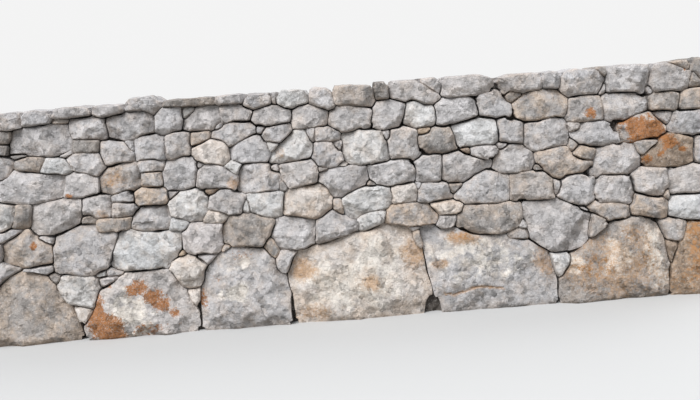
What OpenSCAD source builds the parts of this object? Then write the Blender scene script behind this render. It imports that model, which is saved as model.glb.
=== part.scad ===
// Dry stone wall of rough limestone, five metres of it, built without mortar.
// Two battered faces of coursed stones lean on a packed core, the largest boulders lie at the foot,
// through stones close both ends and one row of cap stones runs along the top.
// Millimetres, Z up, X along the wall, the front face towards -Y, origin at the middle of the foot.

/* [Wall] */
// Length of the wall from end to end
wall_length = 5000; // [3500:50:7000]
// Height from the ground to the top of the tallest cap stone
wall_height = 1610; // [1300:10:1900]
// Thickness of the wall at the ground
base_thickness = 760; // [680:10:960]
// Thickness of the wall where the cap stones bed
top_thickness = 500; // [440:10:580]

/* [Stones] */
// Length of a course stone from its face back into the wall
stone_depth = 190; // [130:5:195]
// Distance from the middle of the wall to the tail of a base boulder
boulder_tail = 80; // [40:5:110]
// Depth of a cap stone across the wall
cap_depth = 530; // [440:10:600]
// Difference between the stones that stand proud and those that lie back
face_relief = 16; // [4:1:24]
// Rise of the middle of a stone over the rim of its face
face_swell = 12; // [4:1:20]
// Width and depth of the worn arris round a stone face
arris = 13; // [6:1:16]

/* [Joints] */
// Least width of the dry joint between two stones
joint = 6; // [4:1:8]
// Open depth of the joints at the two ends of the wall
end_joint_depth = 70; // [40:5:85]

/* [Hidden] */

// Every stone is surveyed on the elevation in centimetres: distance from the left end, height.
survey_length = 500;
survey_height = 161;
survey_bed = 140;

// Base boulders from left to right, the two end ones run through the wall
left_boulder = [[1, 0], [0.5, 14], [1.5, 26], [4.5, 33], [9, 38.5], [13.5, 43], [19, 47.2], [25, 48.8], [32, 48.3],
    [38.5, 46.8], [43, 44.8], [45.3, 41.5], [50, 33], [55, 25.3], [58, 22.3], [60, 18], [61.7, 5], [62, 0]];
right_boulder = [[460.8, 0], [461.5, 9], [461.8, 18], [465.7, 28], [468.3, 34], [471.5, 38], [473.5, 42.5],
    [477, 46], [483, 48], [490, 48.3], [499, 48], [500, 30], [499.5, 12], [499, 0]];
boulders = [
    [[66.8, 0], [66.5, 8], [68.5, 14], [72.5, 18.2], [74.3, 22.5], [78, 33], [83.5, 35.5], [89.5, 38.5],
     [94, 41.5], [98, 42.5], [114, 42.3], [121, 42], [126, 41], [128.3, 38], [130.8, 32.5], [134.5, 29],
     [136.3, 24.5], [141, 12.5], [141.5, 6], [141, 0]],
    [[145, 0], [145.3, 10], [145, 25], [146.5, 30], [148.5, 34.5], [149, 39.5], [151.5, 42.5], [157, 48.3],
     [161, 51.2], [166, 53.3], [172, 54.2], [178, 53.8], [189.8, 51.5], [196.3, 44.5], [197, 39.5], [199, 35.5],
     [202.8, 33.5], [204, 21], [203.6, 14], [203.8, 0]],
    [[208, 0], [208.3, 6], [207.6, 20], [204.8, 28.5], [205, 34.5], [209, 44.3], [212, 47], [218, 49.3],
     [231, 52], [250, 57.3], [262, 58.8], [271, 61.8], [281, 61.3], [286, 59.3], [288, 57.3], [291.3, 46.8],
     [294.5, 43.8], [295.8, 38], [296.3, 30], [299.3, 19], [300, 13], [296.5, 8], [295, 0]],
    [[306, 0], [305, 6], [302.8, 13], [300, 27], [298, 41], [297.3, 48], [295.8, 54], [296.3, 58], [300, 59.3],
     [304.5, 58.3], [308.5, 55.8], [318.5, 55], [330, 50.3], [337, 49.5], [351, 48.5], [354.5, 45.8],
     [366, 43.7], [371, 41.3], [380.3, 34.8], [383.3, 22.5], [384, 15], [383.8, 0]],
    [[386, 0], [386.3, 8], [387.3, 15], [393.5, 24.3], [395.5, 28.5], [395.3, 32.8], [403.5, 35.3],
     [407.5, 38.8], [420, 47.5], [426, 50.5], [438, 53], [444, 52.5], [450, 50.2], [454.5, 47], [457, 43],
     [459.7, 31], [460.5, 24], [459.5, 9], [458.8, 0]]];

// Stones and wedges packed in between the shoulders of the boulders
course_1 = [
    [[26.5, 50.5], [32, 51], [38, 51.8], [46.3, 52], [46.5, 48.5], [44.5, 46.8], [39, 47.6], [33, 48.9]],
    [[51.3, 38], [51.5, 41], [53, 43.8], [57.5, 45], [62, 44], [68, 42.8], [74, 41.3], [77, 38.5], [77.3, 34],
     [73.5, 25.5], [72.8, 22], [70, 21.8], [65, 23.5], [55, 26.5], [52.8, 29.5]],
    [[127, 48], [130.5, 50.2], [139, 51.7], [143, 49.8], [147, 47], [150, 44.8], [147.8, 39.5], [147.3, 34.5],
     [145.5, 31.5], [141.5, 29.8], [136.5, 29.8], [132.8, 32], [128.5, 40.5], [126.8, 44.5]],
    [[199, 46], [200.5, 49.5], [205, 49.3], [210.3, 48.8], [209, 45.5], [205, 37], [203, 34.8], [200.5, 35.3],
     [198.3, 38], [197.8, 42]],
    [[381.3, 34], [387, 33.7], [393, 33.8], [394, 31], [392.5, 27], [386, 20.3], [384.3, 22], [383, 27]],
    [[409.3, 43], [413, 44.6], [418, 48.3], [422.5, 51], [419.5, 54], [415.5, 56.5], [412, 58.3],
     [410.8, 54.5]],
    [[458, 49.8], [460.5, 51], [471.5, 48.2], [472.7, 44.5], [471.5, 39.8], [468.8, 36.8], [464.5, 37],
     [461, 39.8], [459, 42.5]]];
wedges_1 = [
    [[45.3, 46.3], [49, 45.6], [50.8, 43.5], [50.3, 41], [48.7, 40.5], [46, 42.5]],
    [[59.5, 23.5], [63, 23.2], [69.5, 21], [70.5, 19.5], [66.3, 11], [63, 14.5], [61, 18.5]],
    [[76, 43], [78, 44.6], [82.5, 46], [82.7, 42.3], [78.5, 42]],
    [[83.8, 46], [87, 47], [90.5, 45], [95, 43.8], [91, 42.6], [84, 42.2]],
    [[78.3, 40.8], [84, 41.5], [91, 41.8], [88, 38.8], [83.5, 36.3], [80, 35.2], [78.3, 37]],
    [[136.8, 28.3], [140, 28.8], [143.8, 29.3], [143.7, 25], [142, 16.5], [140.3, 18], [138, 23]],
    [[290.8, 52], [291.5, 55], [294.3, 56.5], [295, 52], [296.3, 47.5], [294.5, 45.3], [292.5, 47]],
    [[354.8, 48.5], [357, 50.6], [361, 51.5], [365.5, 51.7], [367.8, 49.5], [367.5, 46.5], [363, 45.7],
     [355.5, 47]],
    [[460.8, 36], [467.5, 35.5], [466, 30.5], [462.3, 20.5], [461.3, 26]],
    [[145.3, 51], [148, 48.6], [150.4, 46.4], [152, 45.2], [156.3, 49.3], [157.8, 51], [146, 51.6]]];

course_2 = [
    [[16.5, 57], [20, 55.3], [26, 53.5], [32, 52.5], [38, 53], [47, 53.7], [48, 58.5], [47.5, 64.8], [38.5, 70.8],
     [34, 76.3], [31.5, 77], [19, 70.5], [16, 66.5], [15.5, 61]],
    [[48.8, 64], [48.6, 56], [49, 48], [51, 46.3], [57, 46], [68, 44.5], [75, 45.2], [83.5, 47.5], [84.5, 51],
     [87.5, 57.5], [90, 65], [91, 71.3], [81, 70.8], [79, 72.5], [78.5, 76.8], [74, 77.5], [69.7, 77],
     [60, 74.3], [51, 71]],
    [[91.8, 63], [89.2, 57], [88.3, 51.5], [87, 48.5], [89.5, 46.5], [95, 45.8], [110, 45.7], [125.7, 46],
     [126, 48.5], [130.5, 51], [134, 58], [134.5, 66.8], [124, 68.5], [110, 69], [102, 71], [96, 71.2]],
    [[135.8, 59], [137, 55.5], [140, 52.8], [158, 52.2], [160.8, 55.5], [161.8, 62], [162.3, 71.3], [155, 71.8],
     [143, 72.7], [140.5, 70.5], [137, 66.5]],
    [[163, 66.5], [163, 61.5], [165.5, 58], [170, 56], [177, 55.3], [189.5, 55], [192, 59], [195, 63.5],
     [198.5, 70], [195, 71.5], [186, 75.3], [180, 76], [171, 76], [167.5, 73.5]],
    [[197.3, 63], [196.8, 60], [200.5, 51.8], [213, 51.2], [218.5, 51], [222, 53.5], [224, 58], [225, 64],
     [224.8, 68], [214, 71.3], [206, 72], [201, 72], [199.5, 69]],
    [[226.3, 53], [232, 53.5], [245, 57.2], [250, 60], [254, 63.5], [250.5, 66.5], [242, 72], [238, 74],
     [235.5, 73.5], [229, 69], [226.5, 66.5]],
    [[254.8, 66], [256, 62], [257.5, 59.5], [262, 60.3], [267, 62.3], [271.5, 64.5], [271.8, 68], [270.5, 71],
     [263, 70.7], [257, 69.2]],
    [[272.5, 64], [274.5, 62.5], [281, 62.2], [287, 60.8], [292, 59.8], [300, 60], [306, 61.3], [308, 64],
     [306, 67.5], [301, 73], [295, 74.3], [281, 74.8], [276.5, 73.2]],
    [[304, 73.8], [306, 70.5], [308.5, 68], [311, 66.2], [320, 66.2], [323.7, 67.3], [324.5, 70.5], [324, 74],
     [314, 74.5]],
    [[307.5, 58.5], [310, 56.5], [318.8, 57], [319.8, 61], [320, 64.8], [313, 65], [309.8, 64.3], [308.8, 61]],
    [[320.7, 62], [320.5, 59], [325, 57], [330, 53.5], [336, 51.3], [343, 50.8], [350, 51.3], [356, 52.8],
     [361.5, 55], [364, 60], [363, 68], [357, 69.5], [331, 70.7], [325.5, 70.3], [324.3, 66.5], [321.5, 65.5]],
    [[366.5, 66.5], [366, 62], [367.3, 57.5], [368.8, 51], [368.8, 47], [374.5, 41], [384.5, 35.2], [398, 34.9],
     [403, 36.8], [406.5, 40.3], [408.5, 51.5], [410.3, 55.5], [409.5, 58.3], [402.5, 62.5], [393, 67.5],
     [389.5, 69], [380, 69.2], [369, 69.6]],
    [[410.2, 63.6], [412.3, 65], [416, 64.3], [431, 63.8], [435, 61.5], [437, 58], [436.5, 55.3], [422, 55],
     [417, 56.7], [413, 59.8]],
    [[438, 56.8], [444, 56], [450, 54.7], [460.5, 52], [461.3, 58], [461, 63], [459.5, 65.5], [453, 65.8],
     [447, 67.5], [441.3, 69], [441, 64], [438.3, 60.5]]];
wedges_2 = [
    [[39.5, 71.8], [44, 71.3], [50, 70.3], [49.3, 66.3], [45, 68]],
    [[134.8, 55], [136.3, 52.8], [132, 51.6]],
    [[163.5, 55.6], [167.5, 56.2], [165.3, 54], [161.5, 52.3]],
    [[191, 54], [193.7, 58.3], [196, 57.5], [198.5, 53], [199.8, 50.3], [199, 47.5], [196.5, 46.2], [193.3, 49.7]],
    [[288, 59], [291, 58.9], [295.3, 58.8], [294, 57.4], [290, 57]],
    [[362.8, 54], [364.5, 58.5], [366.5, 55.5], [366.5, 53]],
    [[404, 63.3], [406, 63.7], [410, 60.5], [406, 61.3]]];

course_3 = [
    [[27.7, 93], [30, 94], [35.5, 93.5], [36, 90], [35, 84], [34, 80.5], [30, 79.5], [23, 79.3], [25.5, 84],
     [27, 88]],
    [[36, 77], [37, 75], [42, 73.5], [48, 72.8], [54, 73.5], [60, 75.7], [65, 78.3], [68.5, 82], [69.3, 87],
     [70, 91], [68.5, 94.5], [62, 95.3], [44, 94.3], [38, 92.8]],
    [[70.5, 84], [76, 84.3], [79, 82.2], [89.5, 81.5], [89.8, 95], [86, 96.3], [80, 96.3], [74, 95.3], [72, 91]],
    [[79.8, 75], [80.7, 72.8], [95, 72.8], [101.5, 73.2], [101.5, 76], [103, 80.3], [86, 80.5], [81.5, 80]],
    [[91, 94.5], [97, 96], [103, 96.8], [106, 95.3], [106, 90.8], [100, 90.6], [92, 91.8]],
    [[91, 81.3], [100, 81.2], [104, 82.8], [107.5, 86], [105, 89.3], [93, 90.7], [91.5, 88]],
    [[107, 90.5], [109, 87.5], [123, 87.3], [127.8, 88.8], [128, 94], [127.2, 97.3], [122, 98.6], [115, 98.8],
     [109, 97.3], [107, 95]],
    [[102.5, 73.5], [106, 71.5], [112, 70.5], [120, 70.3], [126.5, 71.3], [128.2, 74.5], [127.3, 85.5],
     [118, 86.3], [110.5, 86.5], [106.5, 83.5], [103.8, 78.5]],
    [[129.3, 80], [133, 78.2], [138, 76.8], [144, 75.3], [149, 75.8], [153, 80], [154, 89], [152.5, 93],
     [149.5, 95], [142, 95.2], [137, 94.5], [132, 91], [129.2, 88]],
    [[128.5, 71.3], [134, 70.3], [138.8, 69.8], [140, 73], [136, 75.8], [133, 77], [130.3, 77.3]],
    [[151.5, 73.5], [156, 72.7], [162, 72.3], [165.5, 73.7], [167, 76], [165, 78], [161, 79.2], [154.5, 79.2]],
    [[156, 83], [160, 80.8], [171, 77.3], [175.5, 77], [177, 80.5], [179, 85], [179.3, 88.5], [176, 91.5],
     [167, 94], [163, 93.5], [159.5, 91], [157, 88.5]],
    [[184, 78.5], [187, 76.5], [191, 74.5], [197, 73.8], [203.3, 74], [204, 79], [205.3, 88.8], [189, 89.5],
     [181.8, 89.5], [182.7, 85]],
    [[205.2, 74.8], [210, 73.3], [217, 71.8], [224, 70.8], [230, 71], [234, 73.5], [238, 76.5], [237.8, 82],
     [236, 88], [233, 91.5], [225, 91.8], [216, 91], [208, 89.3], [206.3, 85]],
    [[246, 80], [246, 75], [247, 71.3], [250, 69], [254, 68.8], [264, 72.5], [270, 73.3], [275, 75],
     [277.5, 78], [277.7, 82], [276, 85.8], [272, 88], [263, 88], [255, 86.5], [250, 84.6]],
    [[279.3, 76.3], [287, 76.3], [294.3, 76.5], [294.8, 82], [294.5, 87], [282, 87.3], [279.3, 85]],
    [[296, 75.7], [304, 75.5], [318, 76.8], [316.7, 82], [315.5, 86.5], [308, 87.3], [299, 87.2], [296.7, 83]],
    [[321, 75.5], [325, 73.7], [331, 72.3], [345, 70.7], [351, 71.8], [356, 74.5], [357, 80], [356.5, 87],
     [351, 89.5], [348.5, 92.3], [345.5, 93], [335, 89.7], [327, 83.7], [322, 79.5]],
    [[358.5, 73], [360.5, 71.8], [374, 71.3], [381, 71], [386, 71.8], [386.3, 76], [386, 82], [384.5, 86],
     [380.5, 89], [374, 89.5], [366, 89.3], [361, 87.8], [359, 84.5]],
    [[390, 72.3], [393, 70.3], [401, 66.5], [405, 66], [410, 67.2], [412.3, 70], [413, 76], [412.5, 82],
     [409, 85.3], [402, 85.7], [396.5, 85], [393.5, 82.3], [392.3, 78.5]],
    [[414, 68.5], [417.5, 66], [430, 65.5], [434, 64.5], [438.5, 64], [440.2, 68], [440, 75], [439, 82],
     [426, 82.3], [419, 82.8], [415, 80.5]],
    [[441.8, 71.5], [446, 70.3], [450, 68.3], [457, 67], [460.3, 68.5], [462.5, 73], [463, 79], [462.5, 83],
     [459, 84.8], [452, 85.8], [446, 85.3], [441.5, 83]]];
wedges_3 = [
    [[70.3, 82.8], [75.5, 83], [78.3, 81], [78.8, 78.6], [70.3, 78.3]],
    [[128.8, 95.3], [136, 95.5], [132, 92], [129.2, 90.3]],
    [[154, 95], [163, 95.2], [159.5, 92.5], [155, 92.5]],
    [[180.5, 86], [178.5, 81.5], [178, 79.5], [181.5, 77.3], [182, 82]],
    [[204, 90.3], [207.5, 90.3], [208, 93], [206.5, 96.3], [204.7, 96.3], [204.3, 93.5]],
    [[238.8, 81.5], [243, 80.3], [244, 76], [245, 71], [241.5, 73], [239, 75.5]],
    [[262.5, 89.2], [264.3, 91.8], [268.5, 89]],
    [[295.5, 88], [298.5, 87.9], [296, 83.5]],
    [[317.5, 85.3], [326, 85.5], [320.7, 80.3], [318.5, 80.3]],
    [[375.5, 93.3], [378, 94.3], [380.8, 90.3], [375.5, 90.3]],
    [[387.5, 73], [389.5, 75], [391, 79.5], [390, 82.3], [387.5, 83.5]],
    [[461.3, 66.7], [463.7, 64], [464.5, 67], [464, 70.8], [461.8, 69.8]]];

course_4 = [
    [[61.5, 110.5], [61, 104], [59.8, 99], [60, 97], [70, 97.2], [76, 97.3], [81, 98.2], [83, 101],
     [82.7, 105.5], [80, 108.5], [76, 111], [70, 111.8], [65, 112]],
    [[84.5, 106], [84, 101], [85.5, 98], [90, 97.4], [95, 98], [99, 99.5], [108, 100], [111, 103.5],
     [111, 108], [110.3, 112.5], [107, 115.5], [101, 116.5], [94, 115], [88.5, 112.5], [85.5, 109.5]],
    [[112, 110.3], [120, 110], [126.5, 110.3], [128, 113], [127.3, 115.6], [122, 117], [113, 117.3], [111.5, 114]],
    [[112.3, 108.8], [119, 109], [125, 108.8], [125.8, 105], [125.8, 101], [123, 99.7], [116, 99.8],
     [113, 101.5], [112, 105]],
    [[127, 106], [127.5, 101], [129.3, 96.8], [142, 96.3], [146, 98], [148, 103], [149.2, 108], [148.8, 114],
     [146.5, 117.3], [139, 117.3], [132, 115.5], [129, 113.5]],
    [[149, 97.5], [151, 96], [158, 95.8], [165, 96], [172.5, 94.8], [175, 98], [176, 102], [172.5, 104.5],
     [168.5, 107.5], [165, 110], [161, 111], [156, 111.3], [152, 109], [150, 106]],
    [[168.5, 109.5], [173, 111.8], [179.5, 109.8], [177.3, 106.5], [175.8, 103.8], [172.5, 105.7]],
    [[177.5, 93], [180, 91], [203, 91.3], [203.5, 95], [204.3, 99], [202, 102.5], [198.3, 104],
     [197.5, 108], [194, 109.2], [180, 109.3], [178, 106]],
    [[204.5, 107], [206, 103], [207, 98], [209, 94], [211, 92.2], [226, 93.3], [228.5, 96], [229.7, 101],
     [229, 105.5], [226.5, 108.3], [220, 109], [212, 108]],
    [[231, 96.3], [233, 93], [236, 89.3], [238, 85], [241, 83.8], [245, 83.8], [257, 88.5], [260.5, 89.7],
     [263, 93], [262.5, 97], [260.5, 101], [257, 102.8], [243.5, 102.8], [238, 101.5], [231.3, 100]],
    [[265, 93.5], [268, 90.7], [271.5, 89], [285, 88.5], [291, 90], [294.3, 91.5], [295, 96], [294.8, 100.3],
     [291.5, 103.5], [287, 104.3], [281, 104], [268, 102.2], [264.7, 100.5]],
    [[296.5, 90], [299, 88.7], [310, 88.3], [311.3, 92], [312.5, 97], [313, 104.5], [309.5, 106],
     [305, 105.2], [300, 104.3], [297, 102.8], [296.2, 98]],
    [[313.7, 89.5], [317, 87.3], [326, 86.5], [330, 88.5], [335, 91.8], [345, 95.5], [345.5, 98],
     [335, 101.8], [330, 104.2], [326, 106.6], [321, 106], [315, 104.8], [313.3, 94]],
    [[334, 104.3], [338, 102.7], [343, 101.2], [348.5, 101.2], [350, 103.5], [351, 106.5], [350.3, 108.3],
     [343, 109.1], [337, 108.6], [334, 107.5]],
    [[349.8, 97], [350, 93], [352, 91], [370, 90.5], [374, 92.5], [375, 96], [374, 100], [371.5, 103.8],
     [368.5, 107], [364, 108.3], [360.5, 108.6], [352.5, 104.3], [350.7, 100.5]],
    [[376.8, 99], [376.8, 95.8], [379.5, 93], [385.5, 86.8], [391, 83.5], [395, 85.8], [408, 87],
     [411, 88.8], [413.3, 91.5], [411.5, 93.8], [405, 95.5], [401, 98], [399, 102], [395.5, 104.3], [377.5, 101.3]],
    [[401.5, 99.3], [405.5, 96.5], [410, 95.2], [413, 95.8], [415, 99], [415.3, 101.8], [411, 103.5],
     [408, 104.3], [405.5, 103.3]],
    [[414.8, 85], [420, 84.5], [436, 84.3], [441.5, 86.3], [444.7, 90], [445, 94], [443.5, 98], [442, 102],
     [437, 103.3], [430, 103.7], [418.5, 101.5], [416, 94]],
    [[444.8, 98], [447.5, 97], [452, 99.5], [457, 102], [458, 104.5], [450, 104.8], [443.3, 103.6]],
    [[446.3, 90], [449.5, 88], [456, 87.3], [472, 86.7], [478.5, 87.3], [480.8, 91], [481.3, 96], [481.8, 101],
     [479.5, 104.8], [473, 106], [467, 107], [461.5, 106.5], [458.5, 103], [450, 95.8]]];
wedges_4 = [
    [[149.7, 113], [154.5, 112.3], [152, 109.8], [150, 109.5]],
    [[198.7, 106.5], [203.3, 107.5], [204.3, 104.5], [202.5, 103], [199.3, 104.5]],
    [[231, 104], [234.5, 103], [237.5, 102.3], [231, 100.8]],
    [[243.7, 103.4], [246.2, 105.3], [249.5, 104.5], [249.5, 103.4]],
    [[327.5, 108], [331.7, 108.3], [333, 105], [330, 105.5]],
    [[351.7, 110.2], [358, 109.8], [355.3, 107.6], [352, 107.2]],
    [[400.2, 110], [404, 106.9], [404.5, 104.6], [400.3, 101], [399.8, 105]]];

course_5 = [
    [[46, 115.3], [51, 114.3], [58, 113.7], [64, 113.2], [65, 117], [61, 121], [56, 122.8], [49.5, 123],
     [47.5, 119.5]],
    [[29.3, 119], [31, 117.5], [36, 116.5], [43, 115.5], [45, 118], [47.7, 123.4], [35, 125.3], [28.7, 123.5]],
    [[66.3, 117.5], [70, 113.8], [75, 112.8], [80, 110.8], [83, 110.8], [87.5, 114.5], [87, 118], [85.3, 122.5],
     [84, 124.5], [70, 125.2], [65.5, 124.2], [64, 122]],
    [[89, 117], [93, 115.8], [98, 117.5], [108, 119], [107.5, 122], [101, 131], [91, 132.3], [86.5, 131.8],
     [86, 125]],
    [[109.8, 120], [112, 118.5], [122, 118], [127, 116.7], [129, 119.5], [129, 131.7], [122, 134], [114, 133.3],
     [109.5, 131]],
    [[130.3, 120], [131.3, 117], [134, 116.5], [140, 118.3], [145.5, 118.5], [146, 133.2], [142, 134.5],
     [136, 134.5], [130.5, 131.8]],
    [[147, 124.5], [147.5, 133.2], [159.5, 133.3], [159.3, 129], [154, 126.3]],
    [[149.5, 115.5], [155, 112.8], [160, 112.2], [167, 110], [170, 112.5], [171.3, 116], [170.5, 121],
     [169.3, 124], [167, 126], [160, 127.7], [154, 125.2], [147.7, 123], [148.3, 119]],
    [[161, 129], [164, 127.8], [169, 126.3], [172, 123.5], [175, 123.5], [180, 125.8], [190, 130], [190.3, 134],
     [187, 136.7], [177, 138], [170, 135.7], [163, 132.5]],
    [[172.5, 121], [173.3, 114.5], [180, 111.3], [195.5, 110.5], [199, 115.5], [197, 121], [193, 126.8],
     [189, 128.3], [181, 124.7], [176, 122.3]],
    [[195.3, 127], [196.8, 124.3], [207, 122.3], [213.5, 128.3], [214.2, 133.7], [209, 134], [197.5, 132],
     [195.3, 130]],
    [[199, 110], [204, 109], [215, 109.5], [224, 110.3], [227, 114], [227.7, 119], [225, 124.5], [221, 128.3],
     [217, 129.3], [213, 126.5], [206, 120.7], [200.5, 115]],
    [[231, 121.8], [245.5, 121.3], [245.5, 126.7], [238, 130], [231.3, 130.3]],
    [[229, 119], [228.3, 110], [231, 105.3], [234, 104], [242, 103.9], [245.7, 106.3], [246.7, 111],
     [243.7, 113.5], [240.7, 118], [238, 119.5], [230, 120]],
    [[248.8, 124], [248.3, 114], [250, 109], [252.8, 106], [257, 104], [262, 102.7], [267, 103.6],
     [277.5, 105], [277.8, 115.5], [276, 119], [274, 124.3], [266, 124.7], [258, 125.3]],
    [[280.3, 105.8], [288, 105.8], [297, 105.7], [297.5, 112], [297.6, 121], [296.3, 123.3], [292, 124.7],
     [287, 125.4], [281, 124.8], [280.8, 121], [279, 117], [279, 112]],
    [[298.7, 119], [303, 119.6], [306.5, 120.8], [308.5, 123.3], [312, 124.2], [316.5, 123.5], [320, 121.3],
     [322.7, 118], [323.3, 113], [323.3, 109], [318, 107.5], [303, 107.5], [301, 110], [299, 113.5]],
    [[324.8, 111.5], [328, 110.8], [342, 110.5], [349, 110.4], [351, 111.7], [352, 115], [351.6, 119],
     [350.8, 125], [347, 127], [341, 128], [334, 126.5], [328, 125.7], [323.8, 123.6], [323.3, 120]],
    [[353.7, 111.5], [359, 111], [364, 110], [368, 109.3], [368.5, 119], [367.5, 123.3], [364, 124.7],
     [359, 126], [355, 126], [353.2, 124.5], [353, 118]],
    [[369.8, 108.3], [371.2, 106.5], [375, 105], [379, 104.6], [385, 105.6], [399, 106.5], [399, 112],
     [398.5, 117.5], [396, 122], [391, 124.3], [386, 123.7], [380, 122.3], [374, 122.1], [370.3, 120.6]],
    [[400.5, 113], [401.5, 110.3], [405, 107.3], [410, 105.3], [414, 103.5], [418, 102.8], [432, 106],
     [430.8, 111], [428.3, 115.5], [425.5, 118.5], [419, 119.6], [412, 119.3], [408.5, 117], [406.5, 115]],
    [[434, 108], [435, 105.8], [440, 105], [445, 105.6], [450, 106.5], [460, 107.3], [463.7, 109.3],
     [464.3, 112], [463, 115], [455.5, 121.3], [452.5, 122.8], [447, 122.3], [437, 117], [434.5, 113.5]]];
wedges_5 = [
    [[24.5, 126.7], [28.5, 124.8], [33, 125.8], [38, 126.3], [32, 127.3]],
    [[103, 131], [108.7, 131], [108.5, 124]],
    [[164, 134], [168.5, 136], [168, 138], [165, 136.8]],
    [[191.7, 134.2], [196.5, 132.8], [194.5, 128.7], [191.5, 130.2]],
    [[198, 122.7], [204.7, 121.2], [200, 116.7]],
    [[225, 130], [229.8, 130], [228.8, 120.8], [226.6, 122.5]],
    [[242.2, 119.7], [247.3, 119.7], [247, 114], [245, 114]],
    [[275.5, 124], [279.8, 124.2], [279, 120.5], [277.5, 118.7]],
    [[298.7, 124.5], [307, 124.3], [305.7, 121.2], [302, 120.7], [298.7, 121]],
    [[400, 119.5], [407, 119.3], [405.7, 116], [401, 114.8]],
    [[457, 122.7], [463, 123], [469, 122], [468, 118.5], [466.5, 115], [464, 116.3]]];

course_6 = [
    [[24.5, 129], [40, 127.2], [55, 125.5], [60, 126.3], [66.5, 129], [67, 134], [65.2, 140], [64.5, 145],
     [50, 145.7], [36, 145], [30, 143.7], [28, 140], [25.3, 134]],
    [[67.7, 135.5], [77, 134.5], [90, 134], [90.7, 138], [90.2, 143], [88, 146.3], [80, 148.6], [67.3, 148.6],
     [66.3, 140]],
    [[68.3, 126.2], [84.5, 125.8], [85.3, 130], [85.3, 132.8], [77, 133.3], [68, 134.3]],
    [[92, 135], [96, 133.3], [101, 132], [109, 132], [114, 134.5], [122, 135.2], [123.5, 138], [123, 145],
     [120, 149], [117, 150.2], [105, 149.6], [96, 148.3], [91.7, 145.5], [91.7, 140]],
    [[124.5, 136], [128, 133.8], [141, 135.7], [141.8, 141], [141.8, 150], [139, 150.8], [132, 151],
     [128, 150], [124.8, 146.7]],
    [[142.3, 136], [148, 134.7], [160, 134.4], [165, 138], [167, 139.8], [166.8, 150], [160, 150.3],
     [154.5, 149.3], [149, 145.7], [143.3, 141]],
    [[168.3, 142], [168, 149], [172, 150], [181, 150], [184, 146.7], [188, 145.3], [188.8, 143], [187, 139.3],
     [183, 138.5], [173, 139.5], [169.5, 138.3]],
    [[189, 140], [191, 135.7], [200, 134.5], [208, 135], [214, 136], [214.7, 140], [213, 143], [208, 145.7],
     [203, 147], [196, 146], [190, 142.8]],
    [[215.5, 137], [215.7, 131.2], [237, 131.2], [238.7, 134], [240, 139], [238.5, 141], [232, 143.7],
     [227, 145.5], [221, 144.9], [217, 141.8]],
    [[240, 134.5], [241.3, 131], [244.5, 128.3], [247.3, 127], [251, 126.3], [255, 126.5], [259, 128.7],
     [264, 129.3], [267, 131.3], [269, 139], [266, 140.3], [256, 142.3], [250, 143.3], [246, 142.8],
     [241.5, 140.6], [240.8, 138]],
    [[268.3, 126.5], [283, 126.5], [287, 126.8], [289, 129.5], [290.3, 137], [291.3, 140.5], [288.7, 142.7],
     [283, 144.3], [277, 144.7], [272.5, 143.7], [271, 141], [270.3, 136]],
    [[291, 132], [293.5, 128], [297.5, 126], [303, 125.3], [308, 125.8], [310.8, 128], [311, 132.5],
     [310.6, 136.5], [308, 138.8], [304.5, 139.3], [301, 142.3], [297, 143], [294, 141.5], [292.5, 138]],
    [[312.5, 125.8], [316, 125.3], [320, 127], [327, 127], [333, 128.2], [338, 129.7], [339.8, 132],
     [339.3, 136], [336, 139.8], [332, 142], [325, 142.5], [318, 142], [313.5, 140.5], [312, 138]],
    [[341.3, 131], [342.5, 129.5], [348, 128.5], [354, 128.5], [361, 130.3], [361.8, 133], [361, 136],
     [358.3, 137.8], [353.5, 143.8], [348, 143.7], [341, 143.2], [338.7, 141.3], [340.7, 136.5]],
    [[363.5, 129], [365, 126.5], [374, 124], [379, 123.8], [391, 125.7], [397, 126], [399.3, 130], [400, 135],
     [398.5, 137.7], [393, 142], [388, 143.2], [381, 143], [375, 142], [369, 139.7], [365, 137.2]],
    [[400.3, 122], [404, 121.3], [418, 120.9], [422.5, 121.5], [423.3, 124], [422.6, 129], [421.8, 135],
     [417, 136.2], [410, 137], [404, 136.5], [401.3, 135], [401, 130]],
    [[424.7, 122.5], [425.7, 120.2], [429, 119.2], [434, 119.2], [446, 122.9], [451, 124.3], [453.3, 127],
     [453.6, 130], [452, 133.5], [449, 135.5], [443, 136.3], [434, 136.8], [427, 136.6], [423.7, 134.5]],
    [[455.2, 126.7], [457.5, 124.2], [463, 124.2], [470, 123.7], [472.3, 125.7], [473.3, 130], [473.7, 133.7],
     [470, 135.5], [462, 135.3], [457, 134.6], [454.8, 132]]];
wedges_6 = [
    [[54.5, 147.2], [65, 146.7], [65.5, 148.8], [58, 149.2]],
    [[57, 124.4], [63, 124.6], [67.6, 126.2], [67.6, 128], [61.5, 125.8]],
    [[143, 143.5], [147, 146], [149.5, 148], [149.7, 150.2], [143, 150.2]],
    [[358.5, 140.7], [359.8, 138.8], [362.5, 137.4], [367, 139.5], [369.5, 141], [368, 143], [360, 143.3]],
    [[422.3, 137.5], [424.8, 138.7], [426.2, 142.5], [426, 145.5]],
    [[453.7, 139.3], [455.7, 135.6], [457, 136], [455.6, 140]]];

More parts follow.
